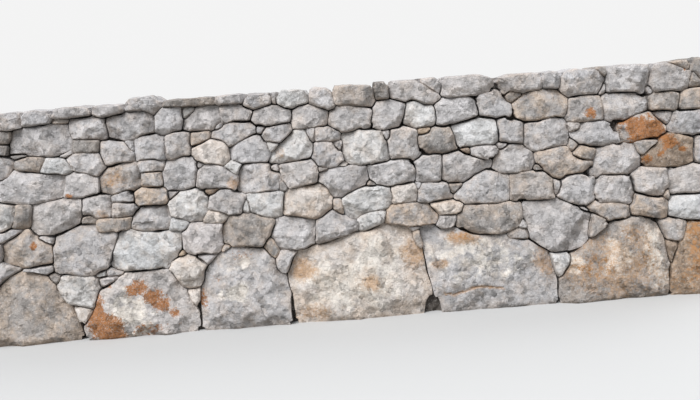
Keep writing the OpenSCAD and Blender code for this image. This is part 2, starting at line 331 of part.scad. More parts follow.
// Through stones that close the two ends of the wall, listed from the ground up
left_heads = [
    [[1, 38.3], [0, 47], [1, 55], [13, 55.2], [17.5, 54], [25, 51.2], [19, 48.6], [12.5, 44.5],
     [7, 39]],
    [[0.5, 56], [13, 56.5], [14.5, 61], [14.3, 69.5], [9, 69.8], [0, 69.8]],
    [[1, 70.8], [15, 70.8], [21, 72.3], [25, 74.6], [29.2, 77.4], [22, 77.9], [15.5, 76.4], [8, 76.2],
     [0.5, 76.2]],
    [[0, 77.2], [8, 77], [15, 76.9], [21.5, 79.3], [24.5, 84], [26, 88], [26.7, 92], [25.5, 94.7], [18, 96],
     [8, 97.8], [1, 98.3]],
    [[0.5, 99.3], [12, 99], [26, 96.6], [31, 95.4], [40, 95.2], [50, 96], [57.5, 97.5], [59, 101],
     [60.3, 105], [60.3, 110], [57, 112], [44, 113], [40, 114.3], [29, 116], [25, 114], [20, 110.3], [1, 110]],
    [[1, 111], [18.5, 111.5], [23, 113.5], [27, 119.5], [27.3, 123], [25, 125.3], [20, 127.2], [10, 127.8],
     [0, 127.6]],
    [[0.5, 128.6], [12, 128.8], [21, 128.4], [23.3, 130.3], [24, 134], [12, 134.7], [1, 134.6]],
    [[0, 135.6], [12, 135.7], [24, 135.2], [26.3, 138], [27, 143.8], [18, 144.2], [1, 144]]];
right_heads = [
    [[462.3, 53], [467, 51.8], [473, 49.8], [483, 49], [499.5, 49.2], [499, 57], [500, 66], [490, 66.5],
     [478, 66.3], [470, 66.5], [466, 65.8], [463, 62.3], [462.2, 58.5]],
    [[465.8, 70.5], [470, 69.3], [485, 68], [499.5, 67.6], [500, 76], [499, 84.8], [490, 85.5], [480, 85.7],
     [475, 85.2], [470, 83.3], [465.5, 81.5]],
    [[482.3, 90], [484, 87], [490, 86.5], [500, 86.3], [499.5, 95], [500, 105], [492, 105.8], [484.5, 105],
     [483, 101]],
    [[467.3, 112], [469, 110.5], [472, 109], [477, 107.5], [484, 106.5], [499, 107], [500, 114], [499.5, 121],
     [489, 121.3], [478, 120.8], [471, 120.3], [469.5, 117.5]],
    [[474, 125], [476, 123.3], [487, 122.8], [500, 122.2], [499.3, 129], [500, 137], [492, 137.5], [484, 137.3],
     [479, 136.3], [475.5, 133.3]]];

// Cap stones from left to right, then the smaller ones and the wedges between them
caps = [
    [[0, 145.3], [34.8, 145.3], [35.5, 156], [27, 157], [3, 156.5], [0.5, 155]],
    [[36, 146], [51, 147], [54, 149.7], [55, 156], [46, 157.3], [37, 157]],
    [[83.3, 151], [87, 149.7], [102, 149.9], [104, 152], [103, 156], [90, 157], [83, 156.7]],
    [[105, 151.5], [117, 151.5], [121, 149.3], [124, 147.8], [128, 152], [129.3, 155.5], [126, 158], [122, 161],
     [108, 160.5], [104.3, 157]],
    [[129.8, 152.9], [134, 152.2], [165, 151.5], [164.5, 157], [134, 157], [130.2, 156.2]],
    [[184.5, 149], [188, 147], [195, 147], [202, 149], [202.7, 153], [202.3, 156.5], [187, 156.7], [185, 152.5]],
    [[228.3, 146.7], [240, 142], [244, 142], [244, 147], [242.5, 155], [240, 157], [232, 158], [228.5, 156]],
    [[245, 146], [248, 144.7], [256, 144.2], [262, 142.7], [270, 141.7], [271.3, 145], [271, 151], [270, 156],
     [264, 157], [256, 158], [245.5, 157.8], [243.7, 155]],
    [[281.7, 147], [284, 145.7], [290, 144], [296, 144.7], [300, 142.7], [305, 140], [310, 140.7], [314, 142.7],
     [315.3, 146], [303, 155], [299.5, 158], [283, 158], [281.7, 153]],
    [[317.3, 147.5], [318.5, 145.3], [322, 144.2], [331, 144.3], [341, 144.7], [347, 146], [352.3, 147.8],
     [352.2, 151], [351, 155], [348, 156.5], [343, 157.8], [333, 158], [322, 158.3], [318, 157.5]],
    [[354.3, 146.7], [357, 145], [363.5, 146], [367, 144.5], [371, 143.8], [382, 144.3], [382.6, 149],
     [382.3, 155], [379, 156.5], [366, 156.6], [361, 155.3], [354, 154.8]],
    [[396.3, 143.5], [397, 141], [400.5, 138.3], [404, 137.8], [416, 139], [421, 138.8], [424, 143],
     [426.4, 149], [420, 155], [414, 156], [407, 157], [401, 156], [397, 155]],
    [[427.2, 139.3], [449.5, 138], [452, 141], [453.8, 143], [455, 149], [456, 155.5], [449, 156.6],
     [440, 157], [430, 156.8], [428, 154.5]],
    [[457.5, 138.8], [460, 137.4], [474, 137.3], [478.5, 138.3], [480.5, 141], [482.3, 146], [481, 149.3],
     [468, 155.7], [458, 155.8], [456.8, 150], [456, 142]],
    [[484.3, 148.3], [489.3, 141.5], [490.5, 138.8], [499.5, 138.8], [500, 148], [499.5, 156], [492, 158],
     [485, 157.8], [483.3, 155.5]]];
small_caps = [
    [[57.3, 150.5], [60, 149.7], [80, 150], [82.2, 152], [81.7, 156], [76, 157.5], [59, 157.5], [56.5, 155]],
    [[165.5, 151.5], [183, 150.6], [184.3, 154], [183.8, 157], [180, 157.5], [170, 157], [165, 156.5]],
    [[206.7, 149.3], [211, 145.5], [218, 145.5], [227, 147.5], [227.3, 153], [226, 156.5], [222, 157.5],
     [210, 158], [207, 156]],
    [[273, 146], [281, 146], [281, 150], [280.5, 155], [279, 158], [272, 158], [271.7, 156], [272.3, 151]],
    [[385.5, 145], [389, 145.2], [394.7, 144.5], [394.8, 155.3], [391, 156.3], [387, 155.8], [383.5, 155],
     [384, 150]]];
cap_slips = [
    [[203.4, 149.5], [205.7, 148], [206, 156], [203.4, 156]]];

// Chocks that rest on the sloping side of a cap stone, that side given by their first two points
cap_chocks = [
    [[303, 155], [315.3, 146], [316.3, 150], [316.3, 156], [313, 158.5], [302, 158.3]],
    [[420, 155], [426.4, 149], [427.2, 152], [427.3, 156.3], [423, 156.6]],
    [[468, 155.7], [481, 149.3], [482.2, 152.5], [482, 156.5], [477, 157]],
    [[489.3, 141.5], [484.3, 148.3], [482.8, 143], [482, 139.5], [488.5, 139.4]]];

// Millimetres to a survey centimetre along the wall and up the wall
x_stretch = (wall_length + joint) / survey_length;
z_stretch = (wall_height + joint / 2) / survey_height;
bed_height = survey_bed * z_stretch;
batter = (base_thickness - top_thickness) / 2 / bed_height;
base_half = base_thickness / 2;
cap_half = cap_depth / 2;
core_reach = wall_length / 2 - min(end_joint_depth, 8 * x_stretch);
bed_lap = 1.8 * x_stretch;
bed_rise = 1.2 * z_stretch;
head_split = top_thickness / 12;
reach = wall_height;

// Half the thickness of the wall at a height
function half_at(z) = base_half - z * batter;

// A steady spread of values from 0 to 1, one for every number
function spread(n) = (sin(n * 137.5) + 1) / 2;

function total(list) = list * [for (item = list) 1];
function after(o, i) = o[(i + 1) % len(o)];
function before(o, i) = o[(i + len(o) - 1) % len(o)];
function cross_of(a, b) = a[0] * b[1] - a[1] * b[0];
function doubled_area(o) = total([for (i = [0:len(o) - 1]) cross_of(o[i], after(o, i))]);
function anticlockwise(o) = doubled_area(o) > 0 ? o : [for (i = [len(o) - 1:-1:0]) o[i]];
function middle(o) =
    [for (axis = [0, 1])
        total([for (i = [0:len(o) - 1]) (o[i][axis] + after(o, i)[axis]) * cross_of(o[i], after(o, i))])
        / (3 * doubled_area(o))];
function unit(v) = v / norm(v);
function left_of(v) = [-v[1], v[0]];

// A corner drawn in between two sides, or along the ground where the stone stands on it
function drawn_corner(p, a, b, d) =
    p[1] > 0 ? p + d * (a + b) / (1 + a * b) : [p[0] + d / (abs(a[0]) > abs(b[0]) ? a[0] : b[0]), 0];

// An outline drawn in by a distance, its sides kept parallel
function drawn_in(o, d) =
    [for (i = [0:len(o) - 1])
        let (a = left_of(unit(o[i] - before(o, i))), b = left_of(unit(after(o, i) - o[i])))
        drawn_corner(o[i], a, b, d)];

// A surveyed outline in millimetres on the elevation, and the stone drawn in from its joints
function on_wall(o) = anticlockwise([for (p = o) [(p[0] - survey_length / 2) * x_stretch, p[1] * z_stretch]]);

// Turn of an outline at a corner, and how far its sides can be drawn in before the shortest is gone
function turn_at(o, i) =
    let (a = unit(o[i] - before(o, i)), b = unit(after(o, i) - o[i])) cross_of(a, b) / (1 + a * b);
function drawing_room(o) =
    min([for (i = [0:len(o) - 1])
        let (turns = turn_at(o, i) + turn_at(o, (i + 1) % len(o)))
        turns > 0 ? norm(after(o, i) - o[i]) / turns : wall_length]);

// A stone with a short side has a narrower arris, joint and arris together take this share of its room
drawn_share = 0.8;
function arris_of(o) = min(arris, drawn_share * drawing_room(on_wall(o)) - joint / 2);
function stone_outline(o) = drawn_in(on_wall(o), joint / 2);
function face_outline(o) = drawn_in(on_wall(o), joint / 2 + arris_of(o));
function lowest(o) = min([for (p = stone_outline(o)) p[1]]);
function leftmost(o) = min([for (p = stone_outline(o)) p[0]]);
function rightmost(o) = max([for (p = stone_outline(o)) p[0]]);

// How far the rim of a stone face lies behind the outermost plane of the wall
function set_back(seed) = face_swell + face_relief * spread(seed);

// Solid through a row of rings of the same number of points, closed at both ends on a middle point
module through_rings(rings, first_middle, last_middle) {
    n = len(rings[0]);
    last = len(rings) - 1;
    points = concat([for (ring = rings) for (p = ring) p], [first_middle, last_middle]);
    near = len(points) - 2;
    far = len(points) - 1;
    near_fan = [for (i = [0:n - 1]) [near, (i + 1) % n, i]];
    far_fan = [for (i = [0:n - 1]) [far, last * n + i, last * n + (i + 1) % n]];
    sides = [for (k = [0:last - 1]) for (i = [0:n - 1])
        [k * n + i, k * n + (i + 1) % n, (k + 1) * n + (i + 1) % n, (k + 1) * n + i]];
    polyhedron(points = points, faces = concat(near_fan, sides, far_fan), convexity = 4);
}

// Ring of an outline on the battered face, a distance in from the outermost plane
function face_ring(o, depth) = [for (p = o) [p[0], depth - half_at(p[1]), p[1]]];
function upright_ring(o, y) = [for (p = o) [p[0], y, p[1]]];
function mirrored_ring(ring) = [for (p = ring) [p[0], -p[1], p[2]]];
function face_middle(o, depth) = [middle(o)[0], depth - half_at(middle(o)[1]), middle(o)[1]];

// Stone of the front face whose tail beds on the packed core
module course_stone(o, seed) {
    stone = stone_outline(o);
    face = face_outline(o);
    depth = set_back(seed);
    through_rings(
        [face_ring(face, depth), face_ring(stone, depth + arris), face_ring(stone, stone_depth)],
        face_middle(face, depth - face_swell),
        face_middle(stone, stone_depth));
}

// Small wedge driven into a joint of the front face, its foot against the packed core
module wedge_stone(o, seed) {
    stone = stone_outline(o);
    tail = stone_depth - half_at(lowest(o));
    front = face_swell + face_relief * (1 + spread(seed)) - half_at(lowest(o));
    translate([0, tail, 0])
        rotate([90, 0, 0])
            linear_extrude(height = tail - front)
                polygon(stone);
}

// Boulder at the foot of the front face, its tail upright inside the wall
module base_boulder(o, seed) {
    stone = stone_outline(o);
    face = face_outline(o);
    depth = set_back(seed) - face_swell;
    swell = min(depth + face_swell, 2 * face_swell);
    through_rings(
        [face_ring(face, depth + face_swell), face_ring(stone, depth + face_swell + 2 * arris),
         upright_ring(stone, -boulder_tail)],
        face_middle(face, depth + face_swell - swell),
        [middle(stone)[0], -boulder_tail, middle(stone)[1]]);
}

// Stone that runs through the wall from face to face
module through_stone(o, seed) {
    stone = stone_outline(o);
    face = face_outline(o);
    near = set_back(seed);
    far = set_back(seed + 3);
    through_rings(
        [face_ring(face, near), face_ring(stone, near + arris),
         mirrored_ring(face_ring(stone, far + arris)), mirrored_ring(face_ring(face, far))],
        face_middle(face, near - face_swell),
        [middle(face)[0], half_at(middle(face)[1]) - far + face_swell, middle(face)[1]]);
}

// Half of an end stone made of two pieces, from the front face to the joint inside the wall
module head_half(o, seed, tail) {
    stone = stone_outline(o);
    face = face_outline(o);
    depth = set_back(seed);
    through_rings(
        [face_ring(face, depth), face_ring(stone, depth + arris), upright_ring(stone, tail)],
        face_middle(face, depth - face_swell),
        [middle(stone)[0], tail, middle(stone)[1]]);
}

// End stone in two pieces that meet off the middle of the wall
module split_head(o, seed, side) {
    head_half(o, seed, side * head_split - joint / 2);
    mirror([0, 1, 0])
        head_half(o, seed + 2, -side * head_split - joint / 2);
}

// Cap stone laid across the wall with upright faces
module cap_stone(o, seed) {
    stone = stone_outline(o);
    face = face_outline(o);
    near = cap_half - set_back(seed);
    far = cap_half - set_back(seed + 5);
    through_rings(
        [upright_ring(face, -near), upright_ring(stone, arris - near),
         upright_ring(stone, far - arris), upright_ring(face, far)],
        [middle(face)[0], -near - face_swell, middle(face)[1]],
        [middle(face)[0], far + face_swell, middle(face)[1]]);
}

module course(stones, wedges, seed) {
    for (i = [0:len(stones) - 1])
        course_stone(stones[i], seed + i);
    for (i = [0:len(wedges) - 1])
        wedge_stone(wedges[i], seed + 40 + i);
}

// Room taken by a stone inside the packed core, from the front to a depth
module stone_room(o, from, to) {
    translate([0, to, 0])
        rotate([90, 0, 0])
            linear_extrude(height = to - from)
                polygon(stone_outline(o));
}

bedded_caps = concat(caps, small_caps, cap_slips);

// Room over the underside of an outline, from its left corner to its right one
function corner_at(o, x) = [for (i = [0:len(o) - 1]) if (o[i][0] == x) i][0];
function underside(o, from, to) = [for (k = [0:(to - from + len(o)) % len(o)]) o[(from + k) % len(o)]];
function room_over(o) =
    let (left = min([for (p = o) p[0]]), right = max([for (p = o) p[0]]))
    concat(underside(o, corner_at(o, left), corner_at(o, right)), [[right, 2 * reach], [left, 2 * reach]]);

// Elevation of the packed core, which rises a little round the foot of every cap stone
module core_elevation() {
    difference() {
        translate([-core_reach, 0])
            square([2 * core_reach, wall_height]);
        for (o = bedded_caps) {
            polygon(room_over(stone_outline(o)));
            translate([leftmost(o) - bed_lap, lowest(o) + bed_rise])
                square([rightmost(o) - leftmost(o) + 2 * bed_lap, wall_height]);
        }
        for (o = cap_chocks)
            translate(chock_slip(o))
                polygon(room_over(stone_outline(o)));
    }
}

// Length of packed core between the tails of the two faces
module core_length() {
    foot = half_at(0) - stone_depth;
    crown = half_at(wall_height) - stone_depth;
    translate([-wall_length / 2, 0, 0])
        rotate([90, 0, 90])
            linear_extrude(height = wall_length)
                polygon([[-foot, 0], [foot, 0], [crown, wall_height], [-crown, wall_height]]);
}

// Step that brings the first side of a chock against the cap stone it rests on
function chock_slip(o) =
    let (outline = on_wall(o)) -joint * left_of(unit(outline[1] - outline[0]));

module chock(o) {
    y = cap_half - face_relief - face_swell;
    translate([0, y, 0])
        rotate([90, 0, 0])
            linear_extrude(height = 2 * y)
                translate(chock_slip(o))
                    polygon(stone_outline(o));
}

module hearting() {
    color([0.46, 0.43, 0.39])
        difference() {
            intersection() {
                core_length();
                translate([0, reach, 0])
                    rotate([90, 0, 0])
                        linear_extrude(height = 2 * reach)
                            core_elevation();
            }
            for (o = concat([left_boulder, right_boulder], left_heads, right_heads))
                stone_room(o, -reach, reach);
            for (o = boulders) {
                stone_room(o, -reach, -boulder_tail);
                stone_room(o, boulder_tail, reach);
            }
        }
}

module left_end_boulder() {
    color([0.74, 0.72, 0.68])
        through_stone(left_boulder, 1);
}

module right_end_boulder() {
    color([0.76, 0.62, 0.48])
        through_stone(right_boulder, 2);
}

module front_boulder_1() {
    color([0.78, 0.68, 0.56])
        base_boulder(boulders[0], 11);
}

module back_boulder_1() {
    color([0.78, 0.68, 0.56])
        mirror([0, 1, 0])
            base_boulder(boulders[0], 21);
}

module front_boulder_2() {
    color([0.76, 0.72, 0.67])
        base_boulder(boulders[1], 12);
}

module back_boulder_2() {
    color([0.76, 0.72, 0.67])
        mirror([0, 1, 0])
            base_boulder(boulders[1], 22);
}

module front_boulder_3() {
    color([0.84, 0.80, 0.74])
        base_boulder(boulders[2], 13);
}

module back_boulder_3() {
    color([0.84, 0.80, 0.74])
        mirror([0, 1, 0])
            base_boulder(boulders[2], 23);
}

module front_boulder_4() {
    color([0.78, 0.76, 0.73])
        base_boulder(boulders[3], 14);
}

module back_boulder_4() {
    color([0.78, 0.76, 0.73])
        mirror([0, 1, 0])
            base_boulder(boulders[3], 24);
}

module front_boulder_5() {
    color([0.77, 0.71, 0.63])
        base_boulder(boulders[4], 15);
}

module back_boulder_5() {
    color([0.77, 0.71, 0.63])
        mirror([0, 1, 0])
            base_boulder(boulders[4], 25);
}

module front_course_1() {
    color([0.82, 0.80, 0.76])
        course(course_1, wedges_1, 100);
}

module back_course_1() {
    color([0.82, 0.80, 0.76])
        mirror([0, 1, 0])
            course(course_1, wedges_1, 150);
}

module front_course_2() {
    color([0.77, 0.75, 0.71])
        course(course_2, wedges_2, 200);
}

module back_course_2() {
    color([0.77, 0.75, 0.71])
        mirror([0, 1, 0])
            course(course_2, wedges_2, 250);
}

module front_course_3() {
    color([0.79, 0.76, 0.71])
        course(course_3, wedges_3, 300);
}

module back_course_3() {
    color([0.79, 0.76, 0.71])
        mirror([0, 1, 0])
            course(course_3, wedges_3, 350);
}

module front_course_4() {
    color([0.78, 0.76, 0.73])
        course(course_4, wedges_4, 400);
}

module back_course_4() {
    color([0.78, 0.76, 0.73])
        mirror([0, 1, 0])
            course(course_4, wedges_4, 450);
}

module front_course_5() {
    color([0.77, 0.75, 0.72])
        course(course_5, wedges_5, 500);
}

module back_course_5() {
    color([0.77, 0.75, 0.72])
        mirror([0, 1, 0])
            course(course_5, wedges_5, 550);
}

module front_course_6() {
    color([0.76, 0.74, 0.71])
        course(course_6, wedges_6, 600);
}

module back_course_6() {
    color([0.76, 0.74, 0.71])
        mirror([0, 1, 0])
            course(course_6, wedges_6, 650);
}

module left_wall_head() {
    color([0.75, 0.73, 0.69])
        for (i = [0:len(left_heads) - 1])
            if (i % 2 == 0)
                through_stone(left_heads[i], 30 + i);
            else
                split_head(left_heads[i], 30 + i, i % 4 == 1 ? 1 : -1);
}

module right_wall_head() {
    color([0.75, 0.73, 0.69])
        for (i = [0:len(right_heads) - 1])
            if (i % 2 == 1)
                through_stone(right_heads[i], 60 + i);
            else
                split_head(right_heads[i], 60 + i, i % 4 == 0 ? 1 : -1);
}

module cap_stone_1() {
    color([0.72, 0.71, 0.70])
        cap_stone(caps[0], 71);
}

module cap_stone_2() {
    color([0.74, 0.73, 0.68])
        cap_stone(caps[1], 72);
}

module cap_stone_3() {
    color([0.71, 0.70, 0.71])
        cap_stone(caps[2], 73);
}

module cap_stone_4() {
    color([0.73, 0.72, 0.69])
        cap_stone(caps[3], 74);
}

module cap_stone_5() {
    color([0.70, 0.69, 0.67])
        cap_stone(caps[4], 75);
}

module cap_stone_6() {
    color([0.72, 0.71, 0.70])
        cap_stone(caps[5], 76);
}

module cap_stone_7() {
    color([0.74, 0.73, 0.68])
        cap_stone(caps[6], 77);
}

module cap_stone_8() {
    color([0.71, 0.70, 0.71])
        cap_stone(caps[7], 78);
}

module cap_stone_9() {
    color([0.73, 0.72, 0.69])
        cap_stone(caps[8], 79);
}

module cap_stone_10() {
    color([0.70, 0.69, 0.67])
        cap_stone(caps[9], 80);
}

module cap_stone_11() {
    color([0.72, 0.71, 0.70])
        cap_stone(caps[10], 81);
}

module cap_stone_12() {
    color([0.74, 0.73, 0.68])
        cap_stone(caps[11], 82);
}

module cap_stone_13() {
    color([0.71, 0.70, 0.71])
        cap_stone(caps[12], 83);
}

module cap_stone_14() {
    color([0.73, 0.72, 0.69])
        cap_stone(caps[13], 84);
}

module cap_stone_15() {
    color([0.70, 0.69, 0.67])
        cap_stone(caps[14], 85);
}

module cap_fillers() {
    color([0.70, 0.68, 0.65]) {
        for (i = [0:len(small_caps) - 1])
            cap_stone(small_caps[i], 90 + i);
        for (o = cap_slips)
            stone_room(o, 2 * face_relief - cap_half, cap_half - 2 * face_relief);
        for (o = cap_chocks)
            chock(o);
    }
}

left_end_boulder();
right_end_boulder();
front_boulder_1();
front_boulder_2();
front_boulder_3();
front_boulder_4();
front_boulder_5();
back_boulder_1();
back_boulder_2();
back_boulder_3();
back_boulder_4();
back_boulder_5();
front_course_1();
front_course_2();
front_course_3();
front_course_4();
front_course_5();
front_course_6();
back_course_1();
back_course_2();
back_course_3();
back_course_4();
back_course_5();
back_course_6();
left_wall_head();
right_wall_head();
hearting();
cap_stone_1();
cap_stone_2();
cap_stone_3();
cap_stone_4();
cap_stone_5();
cap_stone_6();
cap_stone_7();
cap_stone_8();
cap_stone_9();
cap_stone_10();
cap_stone_11();
cap_stone_12();
cap_stone_13();
cap_stone_14();
cap_stone_15();
cap_fillers();
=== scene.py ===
"""Looks of a dry stone wall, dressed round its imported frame.

Every stone of the frame is carved again with a broken face, worn arrises and uneven beds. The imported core
between the two faces becomes rubble. All lengths are in metres, with Z up and X along the wall.
"""

from __future__ import annotations

import logging
import math
from collections.abc import Iterator
from dataclasses import dataclass, field, replace
from enum import Enum

import bpy
import numpy as np
from mathutils import Matrix, Vector

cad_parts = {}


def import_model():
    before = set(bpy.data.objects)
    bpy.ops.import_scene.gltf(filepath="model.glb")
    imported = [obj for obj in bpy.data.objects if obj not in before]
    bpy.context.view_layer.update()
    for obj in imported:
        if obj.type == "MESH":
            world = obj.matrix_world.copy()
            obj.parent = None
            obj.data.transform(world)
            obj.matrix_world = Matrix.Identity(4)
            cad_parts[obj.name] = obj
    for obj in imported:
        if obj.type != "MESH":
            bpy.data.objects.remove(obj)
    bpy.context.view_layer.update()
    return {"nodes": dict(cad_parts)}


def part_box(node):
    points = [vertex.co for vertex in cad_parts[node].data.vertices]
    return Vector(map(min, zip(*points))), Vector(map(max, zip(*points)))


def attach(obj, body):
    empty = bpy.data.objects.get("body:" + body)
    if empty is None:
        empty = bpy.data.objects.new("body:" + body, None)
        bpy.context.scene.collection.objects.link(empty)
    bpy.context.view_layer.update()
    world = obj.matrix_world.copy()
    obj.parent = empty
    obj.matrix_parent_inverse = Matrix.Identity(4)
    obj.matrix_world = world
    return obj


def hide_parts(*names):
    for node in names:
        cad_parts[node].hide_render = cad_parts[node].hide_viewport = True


LOG = logging.getLogger("dry_stone_wall")
ROOT_BODY = "root"
SURVEY_LENGTH = 5.0
FRONT, BACK = -1, 1
GROUND_TOUCH = 1e-3

Array = np.ndarray
Chance = np.random.Generator
Color = tuple[float, float, float]
Faces = list[list[int]]
Painted = dict[str, Array]
Socket = bpy.types.NodeSocket
Inputs = dict[str | int, object]


# Noise that gives the same value for the same place and seed

AXIS_KEYS = (73856093, 19349663, 83492791)
SEED_KEY = 2654435761
STIRS = ((13, 1274126177), (16, 2246822519))
LAST_STIR = 15
LONG_WORD = 0xFFFFFFFF
SHORT_WORD = 0xFFFFFF
LAYER_SEEDS = 101
FAR_CELLS = 9.0


def lattice_values(cells: Array, seed: int) -> Array:
    """Give a steady random value to every cell of a lattice.

    Args:
        cells: Whole-number cell coordinates, one row of three a point.
        seed: Number that picks another set of values.

    Returns:
        One value from 0 to 1 for each row.
    """
    mixed = seed * SEED_KEY
    for column, key in zip(cells.astype(np.int64).T, AXIS_KEYS):
        mixed = mixed ^ (column * key)
    for shift, key in STIRS:
        mixed = (mixed ^ (mixed >> shift)) * key & LONG_WORD
    return ((mixed ^ (mixed >> LAST_STIR)) & SHORT_WORD) / float(SHORT_WORD)


def smooth_noise(points: Array, seed: int) -> Array:
    """Blend lattice values smoothly between the cells.

    Args:
        points: Places, one row of three a point, in cells.
        seed: Number that picks another noise.

    Returns:
        One value from -1 to 1 for each place.
    """
    base = np.floor(points)
    part = points - base
    ease = part * part * (3 - 2 * part)
    total = np.zeros(len(points))
    for corner in range(8):
        step = np.array([corner & 1, corner >> 1 & 1, corner >> 2 & 1])
        weight = np.prod(np.where(step, ease, 1 - ease), axis=1)
        total += weight * lattice_values(base + step, seed)
    return 2 * total - 1


def layered_noise(points: Array, wavelength: float, layers: int, seed: int) -> Array:
    """Add layers of noise, each at half the wavelength and half the height of the last.

    Args:
        points: Places in metres, one row of three a point.
        wavelength: Size of the largest bumps.
        layers: How many layers are added.
        seed: Number that picks another noise.

    Returns:
        One value for each place, mostly from -1 to 1.
    """
    total = np.zeros(len(points))
    for layer in range(layers):
        total += smooth_noise(points * 2**layer / wavelength, seed + layer * LAYER_SEEDS) / 2**layer
    return total


def cells_around(scaled: Array) -> Iterator[tuple[Array, Array]]:
    """Go through the nine cells in and round each place.

    Args:
        scaled: Places, one row of two a point, in cells.

    Returns:
        In turn, the corner of one cell for each place, and the same as a key for lattice values.
    """
    base = np.floor(scaled)
    for step_x in (-1, 0, 1):
        for step_z in (-1, 0, 1):
            cell = base + np.array([step_x, step_z])
            yield cell, np.column_stack([cell, np.zeros(len(cell))])


def pebble_relief(points: Array, spacing: float, seed: int) -> Array:
    """Heap rounded lumps side by side over a flat field.

    Args:
        points: Places in metres, one row of two a point.
        spacing: Usual distance from one lump to the next.
        seed: Number that picks another heap.

    Returns:
        Height of the heap at each place, from 0 between lumps to 1 on top of one.
    """
    smallest, larger_by = 0.8, 0.5
    scaled = points / spacing
    nearest = np.full(len(points), FAR_CELLS)
    for cell, key in cells_around(scaled):
        shift = np.column_stack([lattice_values(key, seed), lattice_values(key, seed + 1)])
        reach = smallest + larger_by * lattice_values(key, seed + 2)
        nearest = np.minimum(nearest, np.linalg.norm(scaled - cell - shift, axis=1) / reach)
    return np.clip(1 - nearest**2, 0, 1)


def flake_scars(points: Array, spacing: float, seed: int) -> Array:
    """Break a flat field into shallow leaning hollows that meet at sharp ridges.

    Args:
        points: Places in metres, one row of two a point.
        spacing: Usual width of a hollow.
        seed: Number that picks another set of hollows.

    Returns:
        Height at each place, from about 0 in the deepest hollows to about 1 on the ridges.
    """
    seed_apart, bend, dome, tilt, step = 0.31, 0.22, 0.55, 1.1, 0.45
    deepest, tallest = -0.3, 1.2
    flat = np.column_stack([points, np.full(len(points), seed * seed_apart)])
    bent = np.column_stack([layered_noise(flat, spacing, layers=2, seed=pick) for pick in (seed, seed + 9)])
    scaled = points / spacing + bend * bent
    lowest = np.full(len(points), FAR_CELLS)
    for cell, key in cells_around(scaled):
        chance = [lattice_values(key, seed + pick) for pick in range(5)]
        away = scaled - cell - np.column_stack(chance[:2])
        lean = np.column_stack(chance[2:4]) - 0.5
        hollow = dome * (away**2).sum(axis=1) + tilt * (away * lean).sum(axis=1) + step * chance[4]
        lowest = np.minimum(lowest, hollow)
    return np.clip(lowest, deepest, tallest)


# The wall's own shape and what was noted on its stones


@dataclass(frozen=True)
class WallShape:
    """Planes that the two battered faces of the wall follow."""

    base_half: float = 0.38
    batter: float = 0.0927

    def half_at(self, height: Array | float) -> Array | float:
        """Give half the thickness of the wall at a height."""
        return self.base_half - self.batter * height


class Tone(Enum):
    """Colours that the limestone of this wall comes in, as linear red, green and blue."""

    WHITE = (0.64, 0.63, 0.625)
    CREAM = (0.70, 0.64, 0.595)
    LIGHT = (0.54, 0.515, 0.51)
    GREY = (0.51, 0.49, 0.49)
    BEIGE = (0.44, 0.41, 0.395)
    BROWN = (0.355, 0.33, 0.315)
    OCHRE = (0.50, 0.39, 0.285)
    RUSTY = (0.33, 0.25, 0.19)
    PINKISH = (0.60, 0.565, 0.56)
    DARK = (0.28, 0.262, 0.25)


# How much buff earth shows on stones of the warmer tones, and on all others
TONE_STAINS = {Tone.CREAM: 0.55, Tone.BEIGE: 0.7, Tone.BROWN: 0.6, Tone.OCHRE: 1.0, Tone.RUSTY: 0.55}
PLAIN_STAIN = 0.35

TONE_LETTERS = {
    "W": Tone.WHITE,
    "C": Tone.CREAM,
    "L": Tone.LIGHT,
    "G": Tone.GREY,
    "B": Tone.BEIGE,
    "N": Tone.BROWN,
    "O": Tone.OCHRE,
    "R": Tone.RUSTY,
    "P": Tone.PINKISH,
    "D": Tone.DARK,
}

# Tones of the stones and of the wedges of each course, from left to right
COURSE_TONES = {
    1: ("LWCLWBB", "NCWPGCPNBR"),
    2: ("BGWPNLGWBLCNLBB", "LOBNLLL"),
    3: ("NLLNGGLBWWCGWCWCGLBLLL", "DLRWNBDLNDLN"),
    4: ("LBBGGGWLLGLLLLLBNLNR", "LLNCRLN"),
    5: ("NWGGGGBCLGGWGGWLNWGGGB", "DGGGWGGGOLL"),
    6: ("GDGGGGGGGLGWLGBBLN", "CGWNGG"),
}
BOULDER_TONES = "LLCLN"
LEFT_END_TONE = "N"
RIGHT_END_TONE = "R"
CAP_TONES = "GGGGDGGBLGGGGGD"
FILLER_TONES = "GGGWDLGNND"
LEFT_HEAD_TONES = "LGGWGGDN"
RIGHT_HEAD_TONES = "WLGGN"


class Growth(Enum):
    """What colours a patch of stone."""

    LICHEN = "lichen"
    RUST = "rust"
    BARE = "bare"


@dataclass(frozen=True)
class Patch:
    """Patch of lichen, rust or bare pale stone, placed by its distance from the left end and its height."""

    along: float
    height: float
    reach_along: float
    reach_up: float
    strength: float
    growth: Growth = Growth.LICHEN


